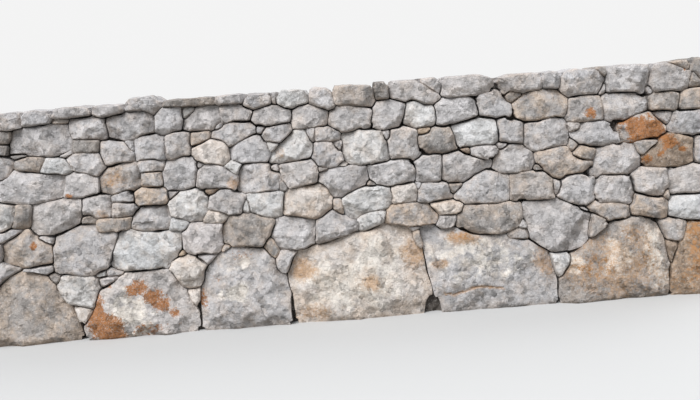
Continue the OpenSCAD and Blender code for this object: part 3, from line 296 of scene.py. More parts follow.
PATCHES = (
    Patch(0.75, 0.15, 0.08, 0.15, 1.0),
    Patch(0.81, 0.08, 0.14, 0.10, 0.9),
    Patch(1.045, 0.325, 0.085, 0.060, 1.0),
    Patch(1.12, 0.265, 0.090, 0.070, 1.0),
    Patch(1.19, 0.205, 0.070, 0.060, 0.9),
    Patch(1.27, 0.150, 0.050, 0.045, 0.7),
    Patch(1.12, 0.05, 0.25, 0.05, 0.5),
    Patch(0.85, 0.36, 0.03, 0.03, 0.7),
    Patch(0.98, 0.17, 0.16, 0.15, 0.7, Growth.BARE),
    Patch(1.74, 0.49, 0.14, 0.05, 0.45),
    Patch(1.57, 0.35, 0.05, 0.05, 0.4),
    Patch(1.46, 0.22, 0.05, 0.08, 0.7),
    Patch(1.70, 0.25, 0.16, 0.07, 0.7, Growth.BARE),
    Patch(1.72, 0.45, 0.12, 0.06, 0.6, Growth.BARE),
    Patch(2.60, 0.35, 0.17, 0.26, 1.0, Growth.BARE),
    Patch(2.40, 0.24, 0.26, 0.16, 0.9, Growth.BARE),
    Patch(2.14, 0.36, 0.09, 0.07, 0.9, Growth.RUST),
    Patch(2.20, 0.07, 0.16, 0.06, 0.6, Growth.RUST),
    Patch(2.61, 0.25, 0.07, 0.06, 0.9, Growth.RUST),
    Patch(2.91, 0.38, 0.09, 0.12, 0.8, Growth.RUST),
    Patch(3.30, 0.38, 0.34, 0.16, 0.5, Growth.BARE),
    Patch(3.24, 0.51, 0.08, 0.04, 0.55),
    Patch(3.24, 0.50, 0.10, 0.05, 1.0, Growth.RUST),
    Patch(3.09, 0.33, 0.07, 0.03, 0.8, Growth.RUST),
    Patch(3.78, 0.28, 0.08, 0.12, 0.7, Growth.RUST),
    Patch(4.10, 0.27, 0.14, 0.14, 0.45),
    Patch(4.28, 0.44, 0.18, 0.08, 0.35),
    Patch(4.47, 0.25, 0.10, 0.12, 0.38),
    Patch(4.25, 0.25, 0.36, 0.26, 0.6, Growth.RUST),
    Patch(4.26, 0.32, 0.10, 0.12, 0.8, Growth.BARE),
    Patch(4.52, 0.30, 0.08, 0.18, 0.8, Growth.BARE),
    Patch(3.98, 0.27, 0.06, 0.06, 0.8, Growth.BARE),
    Patch(4.86, 0.26, 0.24, 0.30, 0.55),
    Patch(4.86, 0.26, 0.30, 0.30, 0.5, Growth.RUST),
    Patch(0.36, 0.665, 0.03, 0.03, 0.9),
    Patch(0.83, 0.845, 0.06, 0.05, 0.5, Growth.RUST),
    Patch(0.63, 0.98, 0.04, 0.02, 0.8),
    Patch(0.93, 1.06, 0.12, 0.09, 0.8, Growth.RUST),
    Patch(0.91, 1.05, 0.10, 0.09, 0.34),
    Patch(1.73, 0.98, 0.04, 0.04, 0.7, Growth.RUST),
    Patch(3.15, 0.890, 0.045, 0.030, 0.9),
    Patch(4.66, 1.025, 0.08, 0.06, 1.0),
    Patch(4.60, 0.955, 0.05, 0.04, 0.9),
    Patch(4.50, 0.925, 0.06, 0.04, 0.9),
    Patch(4.74, 0.975, 0.04, 0.02, 0.9),
    Patch(4.47, 1.13, 0.18, 0.11, 1.0),
    Patch(4.15, 1.26, 0.05, 0.05, 0.9),
    Patch(2.05, 1.14, 0.04, 0.04, 0.5, Growth.RUST),
    Patch(4.79, 1.50, 0.02, 0.02, 0.8),
)


@dataclass(frozen=True)
class Crack:
    """Open crack that runs over a face, through points by distance from the left end and height."""

    points: tuple[tuple[float, float], ...]
    width: float = 0.006
    depth: float = 0.010
    rust: float = 0.8

    def distance(self, along: Array, height: Array) -> Array:
        """Measure how far places lie from the crack.

        Args:
            along: Distances from the left end of the wall.
            height: Heights over the ground.

        Returns:
            The distance of each place to the nearest stretch of the crack.
        """
        place = np.column_stack([along, height])
        nearest = np.full(len(place), np.inf)
        for start, end in zip(self.points, self.points[1:]):
            first, run = np.array(start), np.array(end) - np.array(start)
            share = np.clip((place - first) @ run / (run @ run), 0, 1)
            nearest = np.minimum(nearest, np.linalg.norm(place - first - share[:, None] * run, axis=1))
        return nearest


CRACKS = (
    Crack(((3.09, 0.13), (3.16, 0.117), (3.26, 0.155), (3.31, 0.165), (3.38, 0.155), (3.48, 0.14))),
    Crack(((0.81, 0.63), (0.84, 0.57), (0.87, 0.52)), rust=0.1),
)


# Reading the stones of the frame

MERGE_STEP = 2e-5
SAME_PLACE = 1.5e-4
STRAIGHT_SIDE = 2e-3
NO_AREA = 1e-12
NO_LENGTH = 1e-9
WEDGE_CORNERS = 2.5
THROUGH_REACH = 0.1
COPING_BED = 1.3
NEAR_TAIL = 5e-4


@dataclass(frozen=True)
class Plane:
    """Plane across the wall that leans by a slope as it rises."""

    side: int
    at_ground: float
    slope: float

    def across(self, height: Array) -> Array:
        """Give the distance from the middle of the wall to the plane, outwards on its own side."""
        return self.at_ground - self.slope * height

    def y(self, height: Array, drop: Array | float = 0.0) -> Array:
        """Give the Y of the plane at a height, or of a surface that lies a drop behind it."""
        return self.side * (self.across(height) - drop)


@dataclass
class Blank:
    """Stone as the frame holds it, ready to be carved again."""

    outline: Array
    front: Plane
    back: Plane
    shown_at_back: bool
    wedge: bool

    @property
    def middle(self) -> Array:
        """Middle of the outline, as X and Z."""
        return area_middle(self.outline)

    @property
    def girth(self) -> float:
        """Half the width of a square of the same area."""
        return math.sqrt(abs(signed_area(self.outline))) / 2


def signed_area(outline: Array) -> float:
    """Area inside an outline, above zero where it runs anticlockwise."""
    following = np.roll(outline, -1, axis=0)
    return float((outline[:, 0] * following[:, 1] - outline[:, 1] * following[:, 0]).sum() / 2)


def area_middle(outline: Array) -> Array:
    """Find the middle of the area inside an outline.

    Args:
        outline: Corners, as rows of X and Z.

    Returns:
        The middle, as X and Z.
    """
    following = np.roll(outline, -1, axis=0)
    cross = outline[:, 0] * following[:, 1] - outline[:, 1] * following[:, 0]
    return ((outline + following) * cross[:, None]).sum(axis=0) / (3 * cross.sum())


def islands(node: bpy.types.Object) -> list[tuple[Array, Array]]:
    """Split a node's mesh into its separate solids.

    Args:
        node: Object of the frame.

    Returns:
        For each solid, its corners and its triangles as rows of three corner numbers.
    """
    mesh = node.data
    mesh.calc_loop_triangles()
    places = np.empty(len(mesh.vertices) * 3)
    mesh.vertices.foreach_get("co", places)
    places = places.reshape(-1, 3)
    triangles = np.empty(len(mesh.loop_triangles) * 3, dtype=np.int64)
    mesh.loop_triangles.foreach_get("vertices", triangles)
    keys = np.round(places / MERGE_STEP).astype(np.int64)
    _, first, inverse = np.unique(keys, axis=0, return_index=True, return_inverse=True)
    corners = places[first]
    triangles = inverse.reshape(-1)[triangles].reshape(-1, 3)
    label = np.arange(len(corners))
    while True:
        lowest = label[triangles].min(axis=1)
        before = label.copy()
        for column in range(3):
            np.minimum.at(label, triangles[:, column], lowest)
        if (label == before).all():
            break
    solids = []
    for name in np.unique(label[triangles[:, 0]]):
        chosen = triangles[label[triangles[:, 0]] == name]
        used, renumbered = np.unique(chosen, return_inverse=True)
        solids.append((corners[used], renumbered.reshape(-1, 3)))
    return solids


def side_links(corners: Array, triangles: Array) -> dict[int, set[int]]:
    """Find which corners are joined round the sides that run straight through the wall.

    Args:
        corners: Corners of the solid.
        triangles: Its triangles, as rows of three corner numbers.

    Returns:
        The neighbours of each corner. One corner stands for all that share its X and Z.
    """
    edge_a = corners[triangles[:, 1]] - corners[triangles[:, 0]]
    edge_b = corners[triangles[:, 2]] - corners[triangles[:, 0]]
    normal = np.cross(edge_a, edge_b)
    length = np.linalg.norm(normal, axis=1)
    sides = triangles[np.abs(normal[:, 1]) < STRAIGHT_SIDE * np.maximum(length, NO_AREA)]
    flat = corners[:, [0, 2]]
    apart = np.abs(flat[:, None, :] - flat[None, :, :]).max(axis=2)
    first_there = np.argmax(apart < SAME_PLACE, axis=1)
    links: dict[int, set[int]] = {}
    for triangle in sides:
        for start, end in ((0, 1), (1, 2), (2, 0)):
            a, b = int(first_there[triangle[start]]), int(first_there[triangle[end]])
            if a != b:
                links.setdefault(a, set()).add(b)
                links.setdefault(b, set()).add(a)
    return links


def outline_of(corners: Array, triangles: Array) -> Array:
    """Find the outline of a solid whose sides run straight through the wall.

    Args:
        corners: Corners of the solid.
        triangles: Its triangles, as rows of three corner numbers.

    Returns:
        The outline as rows of X and Z, anticlockwise seen from the front.
    """
    flat = corners[:, [0, 2]]
    links = side_links(corners, triangles)
    on_ground = sorted((i for i in links if flat[i, 1] < SAME_PLACE), key=lambda i: flat[i, 0])
    for corner in on_ground[1:-1]:
        for other in links.pop(corner):
            links[other].discard(corner)
    if len(on_ground) > 2:
        links[on_ground[0]].add(on_ground[-1])
        links[on_ground[-1]].add(on_ground[0])
    start = min(links)
    loop, last, here = [start], -1, start
    while True:
        ahead = [corner for corner in sorted(links[here]) if corner != last]
        last, here = here, ahead[0]
        if here == start or len(loop) > len(links):
            break
        loop.append(here)
    outline = flat[loop]
    return outline if signed_area(outline) > 0 else outline[::-1]


def read_blank(corners: Array, triangles: Array, shape: WallShape) -> Blank:
    """Describe a solid of the frame by its outline and by the planes that it lies between.

    Args:
        corners: Corners of the solid.
        triangles: Its triangles.
        shape: Planes of the wall's faces.

    Returns:
        The blank to carve.
    """
    outline = outline_of(corners, triangles)
    across, height = corners[:, 1], corners[:, 2]
    wedge = len(corners) < WEDGE_CORNERS * len(outline)
    through = across.min() < -THROUGH_REACH and across.max() > THROUGH_REACH
    side = FRONT if across.mean() < 0 or through else BACK
    outward = side * across
    depth = shape.half_at(height) - outward
    if through and height.min() > COPING_BED:
        return Blank(outline, Plane(FRONT, -across.min(), 0.0), Plane(BACK, across.max(), 0.0), True, wedge)
    if through:
        back_depth = shape.half_at(height) - across
        front = Plane(FRONT, shape.base_half - depth.min(), shape.batter)
        back = Plane(BACK, shape.base_half - back_depth.min(), shape.batter)
        return Blank(outline, front, back, True, wedge)
    near = shape.half_at(area_middle(outline)[1]) - outward.max() if wedge else depth.min()
    front = Plane(side, shape.base_half - near, shape.batter)
    upright = (outward < outward.min() + NEAR_TAIL).sum() > (depth > depth.max() - NEAR_TAIL).sum()
    if upright or wedge:
        back = Plane(side, outward.min(), 0.0)
    else:
        back = Plane(side, shape.base_half - depth.max(), shape.batter)
    return Blank(outline, front, back, False, wedge)


def read_blanks(node: bpy.types.Object, shape: WallShape) -> list[Blank]:
    """Read all stones of a node.

    Args:
        node: Object of the frame.
        shape: Planes of the wall's faces.

    Returns:
        The stones, from left to right.
    """
    found = [read_blank(corners, triangles, shape) for corners, triangles in islands(node)]
    return sorted(found, key=lambda blank: blank.middle[0])


def walk_round(outline: Array, steps: int) -> Array:
    """Place points at even steps round an outline.

    Args:
        outline: Corners, as rows of X and Z and of anything else that changes along the way.
        steps: Number of points.

    Returns:
        The points, as rows of the same.
    """
    closed = np.vstack([outline, outline[:1]])
    run = np.concatenate([[0], np.cumsum(np.linalg.norm(np.diff(closed[:, :2], axis=0), axis=1))])
    places = np.linspace(0, run[-1], steps, endpoint=False)
    return np.column_stack([np.interp(places, run, column) for column in closed.T])


def lowest_height(outline: Array, along: float) -> float | None:
    """Find where an upright line first meets an outline from below.

    Args:
        outline: Corners, as rows of X and Z.
        along: X of the line.

    Returns:
        The height of the lowest crossing, or None where the line misses the outline.
    """
    found = []
    for start, end in zip(outline, np.roll(outline, -1, axis=0)):
        left, right = (start, end) if start[0] < end[0] else (end, start)
        if left[0] <= along <= right[0] and right[0] - left[0] > NO_LENGTH:
            found.append(left[1] + (along - left[0]) / (right[0] - left[0]) * (right[1] - left[1]))
    return min(found, default=None)


def inward_of(rim: Array) -> Array:
    """Find which way is inwards at each point of a rim.

    Args:
        rim: Points round a stone, anticlockwise, as rows of X and Z.

    Returns:
        The eased inward direction at each point, level along the ground.
    """
    along = np.roll(rim, -1, axis=0) - np.roll(rim, 1, axis=0)
    along /= np.maximum(np.linalg.norm(along, axis=1), NO_LENGTH)[:, None]
    inward = np.column_stack([-along[:, 1], along[:, 0]])
    for _ in range(2):
        inward = inward + 0.5 * (np.roll(inward, 1, axis=0) + np.roll(inward, -1, axis=0))
        inward /= np.linalg.norm(inward, axis=1)[:, None]
    inward[rim[:, 1] < GROUND_TOUCH, 1] = 0.0
    return inward


def eased(values: Array, times: int) -> Array:
    """Even out values that run round a rim.

    Args:
        values: One value for each point.
        times: How many times each is drawn towards its neighbours.

    Returns:
        The evened values.
    """
    for _ in range(times):
        values = 0.5 * values + 0.25 * (np.roll(values, 1) + np.roll(values, -1))
    return values


def nearest_distance(places: Array, others: Array) -> Array:
    """Measure the distance from each place to the nearest of some others.

    Args:
        places: Places, as rows of X and Z.
        others: The other places.

    Returns:
        The distance for each place.
    """
    apart = (places[:, None, 0] - others[None, :, 0]) ** 2 + (places[:, None, 1] - others[None, :, 1]) ** 2
    return np.sqrt(apart.min(axis=1))


@dataclass
class Joints:
    """Outlines of all stones of one face, grown towards each other until the joints close up."""

    blanks: list[Blank]
    step: float = 0.006
    fewest_points: int = 12
    rounds: int = 5
    open_width: tuple[float, float] = (0.002, 0.020)
    usual_width: float = 0.33
    width_swing: float = 0.62
    width_wavelength: float = 0.13
    upright_share: float = 0.4
    side_growth: float = 0.014
    corner_growth: float = 0.033
    corner_turn: float = 0.7
    corner_steps: int = 4
    free_growth: float = 0.003
    free_distance: float = 0.05
    probes: tuple[float, ...] = (0.0, 0.02, 0.04, 0.06, 0.08)
    probe_room: float = 0.013

    def __post_init__(self) -> None:
        """Walk round every outline and grow it a little further in each round."""
        self.middles = np.array([blank.middle for blank in self.blanks])
        self.starts = []
        for blank in self.blanks:
            length = np.linalg.norm(blank.outline - np.roll(blank.outline, 1, axis=0), axis=1).sum()
            self.starts.append(walk_round(blank.outline, max(self.fewest_points, int(length / self.step))))
        self.rims = list(self.starts)
        everyone = range(len(self.rims))
        self.open = [self.openness(index) for index in everyone]
        self.limits = [self.furthest(index) for index in everyone]
        for _ in range(self.rounds):
            self.rims = [self.grown(index) for index in everyone]

    def others(self, index: int) -> Array:
        """Collect the points of all rims that lie near a stone.

        Args:
            index: Number of the stone.

        Returns:
            The points, as rows of X and Z.
        """
        rim = self.rims[index]
        low, high = rim.min(axis=0) - 2 * self.free_distance, rim.max(axis=0) + 2 * self.free_distance
        near = [
            other
            for place, other in enumerate(self.rims)
            if place != index and (other.max(axis=0) > low).all() and (other.min(axis=0) < high).all()
        ]
        return np.concatenate(near)

    def openness(self, index: int) -> Array:
        """Find where a stone has no neighbour and lies open to the weather.

        Args:
            index: Number of the stone.

        Returns:
            How open it lies at each point of its rim, from 0 to 1.
        """
        rim = self.rims[index]
        others = self.others(index)
        inward = inward_of(rim)
        rooms = [nearest_distance(rim - inward * probe, others) for probe in self.probes]
        found = (np.min(rooms, axis=0) > self.probe_room).astype(float)
        for _ in range(self.corner_steps):
            found = np.maximum(found, np.maximum(np.roll(found, 1), np.roll(found, -1)))
        return eased(found, self.corner_steps)

    def furthest(self, index: int) -> Array:
        """Work out how far each point of a stone may move, which is furthest at the corners.

        Args:
            index: Number of the stone.

        Returns:
            The furthest move of each point of its rim.
        """
        inward = inward_of(self.starts[index])
        before = np.roll(inward, self.corner_steps, axis=0)
        after = np.roll(inward, -self.corner_steps, axis=0)
        across = before[:, 0] * after[:, 1] - before[:, 1] * after[:, 0]
        turn = np.arctan2(across, (before * after).sum(axis=1))
        corner = np.clip(turn / self.corner_turn, 0, 1)
        return self.side_growth + (self.corner_growth - self.side_growth) * corner

    def grown(self, index: int) -> Array:
        """Grow a stone by one round.

        Args:
            index: Number of the stone.

        Returns:
            The new points of its rim.
        """
        rim = self.rims[index]
        inward = inward_of(rim)
        gap = nearest_distance(rim, self.others(index))
        moved = np.linalg.norm(rim - self.starts[index], axis=1)
        room = np.maximum(self.limits[index] - moved, 0)
        free = (gap > 2 * self.free_distance) | (self.open[index] > 0.5)
        place = np.column_stack([rim, np.zeros(len(rim))])
        narrow, wide = self.open_width
        bedded = self.upright_share + (1 - self.upright_share) * np.abs(inward[:, 1])
        swing = self.width_swing * layered_noise(place, self.width_wavelength, layers=2, seed=211)
        width = narrow + (wide - narrow) * np.clip(self.usual_width + swing, 0, 1) * bedded
        step = np.clip((gap - width) / 2, 0, room)
        step = np.where(free, np.maximum(self.free_growth - moved, 0), step)
        step = np.minimum(step, eased(step, 1))
        return rim - inward * step[:, None]

    def fitted(self, blank: Blank, steps: int) -> Array:
        """Walk round the grown outline of a stone.

        Args:
            blank: The stone, or the one that repeats it in the other face.
            steps: Number of points.

        Returns:
            Rows of X, Z and how open the stone lies there.
        """
        index = int(np.argmin(np.linalg.norm(self.middles - blank.middle, axis=1)))
        return walk_round(np.column_stack([self.rims[index], self.open[index]]), steps)


# Carving

STONE_SEEDS = 31
BACK_FACE_SEED = 7
FAR_SIDE_SEED = 3
PAINTED = ("lichen", "rust", "bare", "rim", "worn")


@dataclass(frozen=True)
class Carving:
    """How a kind of stone is broken and worn."""

    face_squares: int
    stations: tuple[float, ...]
    through_step: float = 0.028
    widest_reach: float = 0.30
    tilt: tuple[float, float] = (0.02, 0.09)
    bulge: float = 0.05
    bulge_power: float = 2.6
    facets: int = 6
    facet_turn: float = 0.35
    facet_slope: tuple[float, float] = (0.15, 0.75)
    facet_start: tuple[float, float] = (0.35, 0.93)
    facet_ease: float = 0.0025
    chips: int = 3
    chip_place: tuple[float, float] = (0.45, 1.0)
    chip_size: tuple[float, float] = (0.18, 0.42)
    chip_depth: tuple[float, float] = (0.10, 0.28)
    wave: float = 0.03
    wavelength: float = 0.8
    flake_size: float = 0.085
    flake_size_range: tuple[float, float] = (0.75, 1.35)
    flake_depth: float = 0.026
    flake_depth_range: tuple[float, float] = (0.7, 1.2)
    flake_depth_share: float = 0.26
    finer_size: float = 0.4
    finer_depth: float = 0.35
    roughness: float = 0.0020
    grain: float = 0.045
    rim_wobble: float = 0.0030
    inner_growth: float = 0.0035
    open_depth: float = 0.008
    arris: float = 0.0025
    lip: float = 0.006
    lip_power: int = 20
    side_wobble: float = 0.005
    deepest: float = 0.070
    free_share: float = 0.55
    crisp_angle: float = 18.0


@dataclass
class Carved:
    """Carved stone or heaped rubble, with values from 0 to 1 to be painted on each of its points."""

    points: Array
    faces: Faces
    painted: Painted


@dataclass
class Surface:
    """Points, faces and painted values of a piece while it is being built."""

    points: list[Array] = field(default_factory=list)
    faces: Faces = field(default_factory=list)
    tone: list[Array] = field(default_factory=list)
    painted: dict[str, list[Array]] = field(default_factory=lambda: {name: [] for name in PAINTED})
    count: int = 0

    def add(self, carved: Carved, tone: Color, stain: float) -> None:
        """Add a stone to the piece.

        Args:
            carved: The stone, with its faces numbered from its own first point.
            tone: Its colour.
            stain: How strongly buff earth has coloured it, from 0 to 1.
        """
        self.faces.extend([[self.count + i for i in face] for face in carved.faces])
        self.points.append(carved.points)
        self.tone.append(np.tile(np.array([*tone, stain]), (len(carved.points), 1)))
        for name, values in self.painted.items():
            values.append(carved.painted[name])
        self.count += len(carved.points)

    def build(self, name: str, material: bpy.types.Material, crisp_angle: float) -> bpy.types.Object:
        """Turn the piece into an object.

        Args:
            name: Name of the object.
            material: Its material.
            crisp_angle: Angle between faces, in degrees, above which an edge stays crisp.

        Returns:
            The object, linked to the scene.
        """
        mesh = bpy.data.meshes.new(name)
        mesh.from_pydata(np.concatenate(self.points).tolist(), [], self.faces)
        mesh.shade_smooth()
        mesh.set_sharp_from_angle(angle=math.radians(crisp_angle))
        tone = mesh.color_attributes.new("tone", "FLOAT_COLOR", "POINT")
        tone.data.foreach_set("color", np.concatenate(self.tone).astype(np.float32).ravel())
        for label, values in self.painted.items():
            attribute = mesh.attributes.new(label, "FLOAT", "POINT")
            attribute.data.foreach_set("value", np.concatenate(values).astype(np.float32))
        mesh.materials.append(material)
        mesh.validate()
        piece = bpy.data.objects.new(name, mesh)
        bpy.context.scene.collection.objects.link(piece)
        return piece


@dataclass(frozen=True)
class RingDepth:
    """Place of a ring of points between the front and the back of a stone."""

    share: float
    reach: float


@dataclass
class Rim:
    """Outline of a stone, fitted to its neighbours, and the wear that it gets along its sides."""

    flat: Array
    inward: Array
    on_ground: Array
    is_open: Array
    girth: float
    carving: Carving
    seed: int

    def at_most(self, size: float, share: float) -> float:
        """Keep a size within a share of half the stone's width."""
        return min(size, share * self.girth)

    def worn_at(self, y: Array, reach: float) -> Array:
        """Wear the outline at a depth in the wall.

        Args:
            y: Y of each point of the rim there.
            reach: Distance behind the nearest face.

        Returns:
            The worn outline, as rows of X and Z.
        """
        arris_fade, hidden_from, most_wander = 0.6, 0.03, 1.8
        bump_lift, least_bump, most_bump = 0.55, -0.2, 2.0
        coarse_scars, fine_scars = 0.75, 0.35
        carving = self.carving
        place = np.column_stack([self.flat[:, 0], y, self.flat[:, 1]])
        arris = self.at_most(carving.arris, share=0.08)
        wander = layered_noise(place, wavelength=0.05, layers=3, seed=self.seed + 11)
        wander = np.clip(wander, 0.0, most_wander)
        inset = arris * math.exp(-reach / (arris_fade * arris))
        inset = inset + wander * self.at_most(carving.rim_wobble, share=0.05)
        inside = 1 - math.exp(-reach / hidden_from)
        bumps = layered_noise(place, wavelength=0.09, layers=2, seed=self.seed + 21) + bump_lift
        bumps = np.clip(bumps, least_bump, most_bump) * self.at_most(carving.side_wobble, share=0.08)
        inset = inset + inside * (bumps - carving.inner_growth)
        weather = np.column_stack([y, self.flat[:, 0] - self.flat[:, 1]])
        scars = coarse_scars * flake_scars(weather, spacing=0.11, seed=self.seed + 61)
        scars = scars + fine_scars * flake_scars(weather, spacing=0.045, seed=self.seed + 67)
        inset = inset + self.is_open * self.at_most(carving.open_depth, share=0.2) * (1 - scars)
        flat = self.flat + self.inward * inset[:, None]
        flat[self.on_ground, 1] = 0.0
        return np.column_stack([flat[:, 0], np.maximum(flat[:, 1], 0.0)])


def heading(angle: float) -> Array:
    """Turn an angle into a direction along the face, as X and Z."""
    return np.array([math.cos(angle), math.sin(angle)])


def smooth_top(first: Array, second: Array, width: float) -> Array:
    """Take the greater of two values, with the change from one to the other eased.

    Args:
        first: One value for each place.
        second: Another value for each place.
        width: How close the values are where the easing starts.

    Returns:
        The eased greater value.
    """
    blend = np.clip(0.5 + 0.5 * (second - first) / width, 0, 1)
    return first * (1 - blend) + second * blend + width * blend * (1 - blend) * 0.5


def square_turn(u: Array, v: Array, radius: Array) -> Array:
    """Find how far round the edge of a square a direction points.

    Args:
        u: First coordinate in the square.
        v: Second coordinate in the square.
        radius: The greater of the two, without its sign.

    Returns:
        A share of the whole way round, anticlockwise from the lower left corner.
    """
    safe = np.maximum(radius, NO_LENGTH)
    a, b = u / safe, v / safe
    edge = 1 - NO_LENGTH
    turn = np.select(
        [b <= -edge, a >= edge, b >= edge],
        [(a + 1) / 2, 1 + (b + 1) / 2, 2 + (1 - a) / 2],
        3 + (1 - b) / 2,
    )
    return turn / 4 % 1.0


def grid_faces(columns: int, rows: int) -> Faces:
    """Number the faces of a grid, anticlockwise, row by row from the lower left corner.

    Args:
        columns: Number of squares along the grid.
        rows: Number of squares up the grid.

    Returns:
        The faces.
    """
    row = columns + 1
    corners = [j * row + i for j in range(rows) for i in range(columns)]
    return [[corner, corner + 1, corner + row + 1, corner + row] for corner in corners]


def grid_rim(columns: int, rows: int) -> Array:
    """Number the points round the rim of a grid, anticlockwise from the lower left corner.

    Args:
        columns: Number of squares along the grid.
        rows: Number of squares up the grid.

    Returns:
        The point numbers.
    """
    row = columns + 1
    lower = list(range(columns))
    right = [j * row + columns for j in range(rows)]
    upper = [rows * row + i for i in range(columns, 0, -1)]
    left = [j * row for j in range(rows, 0, -1)]
    return np.array(lower + right + upper + left)


def ring_faces(first: Array, second: Array) -> Faces:
    """Join two rings of the same number of points by a row of four-sided faces.

    Args:
        first: Point numbers of the first ring.
        second: Point numbers of the second ring.

    Returns:
        The faces.
    """
    corners = zip(first, second, np.roll(second, -1), np.roll(first, -1))
    return [[int(corner) for corner in face] for face in corners]


def turned(faces: Faces, other_way: bool) -> Faces:
    """Let faces look the other way, if they have to."""
    return [face[::-1] for face in faces] if other_way else faces


@dataclass
class Carver:
    """Carves stones with a broken face out of the blanks of the frame."""

    carving: Carving
    joints: Joints
    edge_power: int = 6
    edge_fade: float = 0.012
    # How far the sides count as standing out of the hollows, which makes them a little darker than the
    # ridges.
    raised_sides: float = 0.4

    def carve(self, blank: Blank, seed: int) -> Carved:
        """Carve one stone.

        Args:
            blank: The stone as the frame holds it.
            seed: Number that picks its breaks.

        Returns:
            The stone, painted with how near each point is to an edge, how far it stands out of the hollows,
            and what grows on it.
        """
        squares = self.carving.face_squares
        around = 4 * squares
        seen_from_behind = blank.front.side == BACK
        rim = self.fitted_rim(blank, around, seed)
        rim_points = grid_rim(squares, squares)
        front, radius, front_raised = self.face_grid(blank, rim, blank.front, seed)
        points, near, worn = [front], [radius**self.edge_power], [front_raised]
        faces = turned(grid_faces(squares, squares), seen_from_behind)
        start = front[rim_points]
        if blank.shown_at_back:
            back, radius, back_raised = self.face_grid(blank, rim, blank.back, seed + BACK_FACE_SEED)
            end = back[rim_points]
        else:
            end = np.column_stack([rim.flat[:, 0], blank.back.y(rim.flat[:, 1]), rim.flat[:, 1]])
        last_ring = rim_points
        count = len(front)
        for depth in self.ring_depths(start, end, blank.shown_at_back):
            points.append(self.side_ring(rim, start, end, depth))
            near.append(np.full(around, np.exp(-depth.reach / self.edge_fade)))
            worn.append(np.full(around, self.raised_sides))
            this_ring = np.arange(count, count + around)
            faces += turned(ring_faces(last_ring, this_ring), seen_from_behind)
            last_ring = this_ring
            count += around
        if blank.shown_at_back:
            points.append(back)
            near.append(radius**self.edge_power)
            worn.append(back_raised)
            faces += [[count + i for i in face[::-1]] for face in grid_faces(squares, squares)]
            faces += ring_faces(last_ring, rim_points + count)
        else:
            points.append(points[-1].mean(axis=0)[None, :])
            near.append(np.zeros(1))
            worn.append(np.zeros(1))
            fan = [[int(a), int(b), count] for a, b in zip(np.roll(last_ring, -1), last_ring)]
            faces += turned(fan, seen_from_behind)
        places = np.concatenate(points)
        painted = {"rim": np.concatenate(near), "worn": np.concatenate(worn)}
        return Carved(places, faces, painted | growth_at(places, blank.outline))

    def fitted_rim(self, blank: Blank, around: int, seed: int) -> Rim:
        """Walk round the outline in even steps, grown towards the neighbours.

        Args:
            blank: The stone.
            around: Number of steps.
            seed: Number that picks how the rim wanders.

        Returns:
            The rim.
        """
        walked = self.joints.fitted(blank, around)
        flat = walked[:, :2]
        on_ground = flat[:, 1] < GROUND_TOUCH
        is_open = np.where(on_ground, 0.0, walked[:, 2])
        return Rim(flat, inward_of(flat), on_ground, is_open, blank.girth, self.carving, seed)

    def face_grid(self, blank: Blank, rim: Rim, plane: Plane, seed: int) -> tuple[Array, Array, Array]:
        """Lay a grid of squares over a face, from its rim in to its middle, and break it.

        Args:
            blank: The stone.
            rim: Rim of the stone.
            plane: Outermost plane of the face.
            seed: Number that picks the breaks.

        Returns:
            The points of the grid, and for each the share of the way from the middle to the rim, and how far
            it stands out of the hollows.
        """
        squares = self.carving.face_squares
        half = squares / 2
        u, v = np.meshgrid(np.arange(squares + 1) - half, np.arange(squares + 1) - half)
        u, v = u.ravel() / half, v.ravel() / half
        radius = np.maximum(np.abs(u), np.abs(v))
        outline = rim.worn_at(plane.y(rim.flat[:, 1]), 0.0)
        turn = square_turn(u, v, radius) * len(outline)
        whole = np.floor(turn).astype(int)
        share = (turn - whole)[:, None]
        on_rim = outline[whole % len(outline)] * (1 - share) + outline[(whole + 1) % len(outline)] * share
        middle = blank.middle
        flat = middle + radius[:, None] * (on_rim - middle)
        drop, worn = self.broken_drop(blank, flat, radius, seed + FAR_SIDE_SEED * (plane.side > 0))
        return np.column_stack([flat[:, 0], plane.y(flat[:, 1], drop), flat[:, 1]]), radius, worn

    def broken_drop(self, blank: Blank, flat: Array, radius: Array, seed: int) -> tuple[Array, Array]:
        """Work out how far each place on a face lies behind its outermost plane.

        Args:
            blank: The stone.
            flat: Places on the face, as X and Z.
            radius: Share of the way from the middle to the rim.
            seed: Number that picks the breaks.

        Returns:
            The drop at each place, and how far the place stands out of the hollows, from 0 to 1.
        """
        seed_apart, raised_base, raised_by_ridges, raised_by_finer = 0.173, 0.25, 0.5, 0.35
        carving = self.carving
        chance = np.random.default_rng(seed)
        reach = min(blank.girth, carving.widest_reach)
        outer = blank.outline - blank.middle
        drop = self.faceted(flat - blank.middle, outer, radius, reach, chance)
        drop += self.chipped(flat - blank.middle, outer, reach, chance)
        place = np.column_stack([flat, np.full(len(flat), seed * seed_apart)])
        waves = layered_noise(place, carving.wavelength * reach, layers=2, seed=seed + 5)
        drop += carving.wave * reach * waves
        size = carving.flake_size * chance.uniform(*carving.flake_size_range)
        ridges = flake_scars(flat, size, seed + 41)
        finer = flake_scars(flat, carving.finer_size * size, seed + 47)
        depth = min(carving.flake_depth, carving.flake_depth_share * blank.girth)
        depth *= chance.uniform(*carving.flake_depth_range)
        drop -= depth * ridges + carving.finer_depth * depth * finer
        drop += carving.lip * radius**carving.lip_power
        drop += carving.roughness * layered_noise(place, carving.grain, layers=2, seed=seed + 6)
        along = flat[:, 0] + SURVEY_LENGTH / 2
        for crack in CRACKS:
            drop += crack.depth * np.exp(-((crack.distance(along, flat[:, 1]) / crack.width) ** 2))
        drop -= drop.min()
        free, held = carving.free_share * carving.deepest, (1 - carving.free_share) * carving.deepest
        drop = np.where(drop > free, free + held * (1 - np.exp(-(drop - free) / held)), drop)
        return drop, np.clip(raised_base + raised_by_ridges * ridges + raised_by_finer * finer, 0, 1)

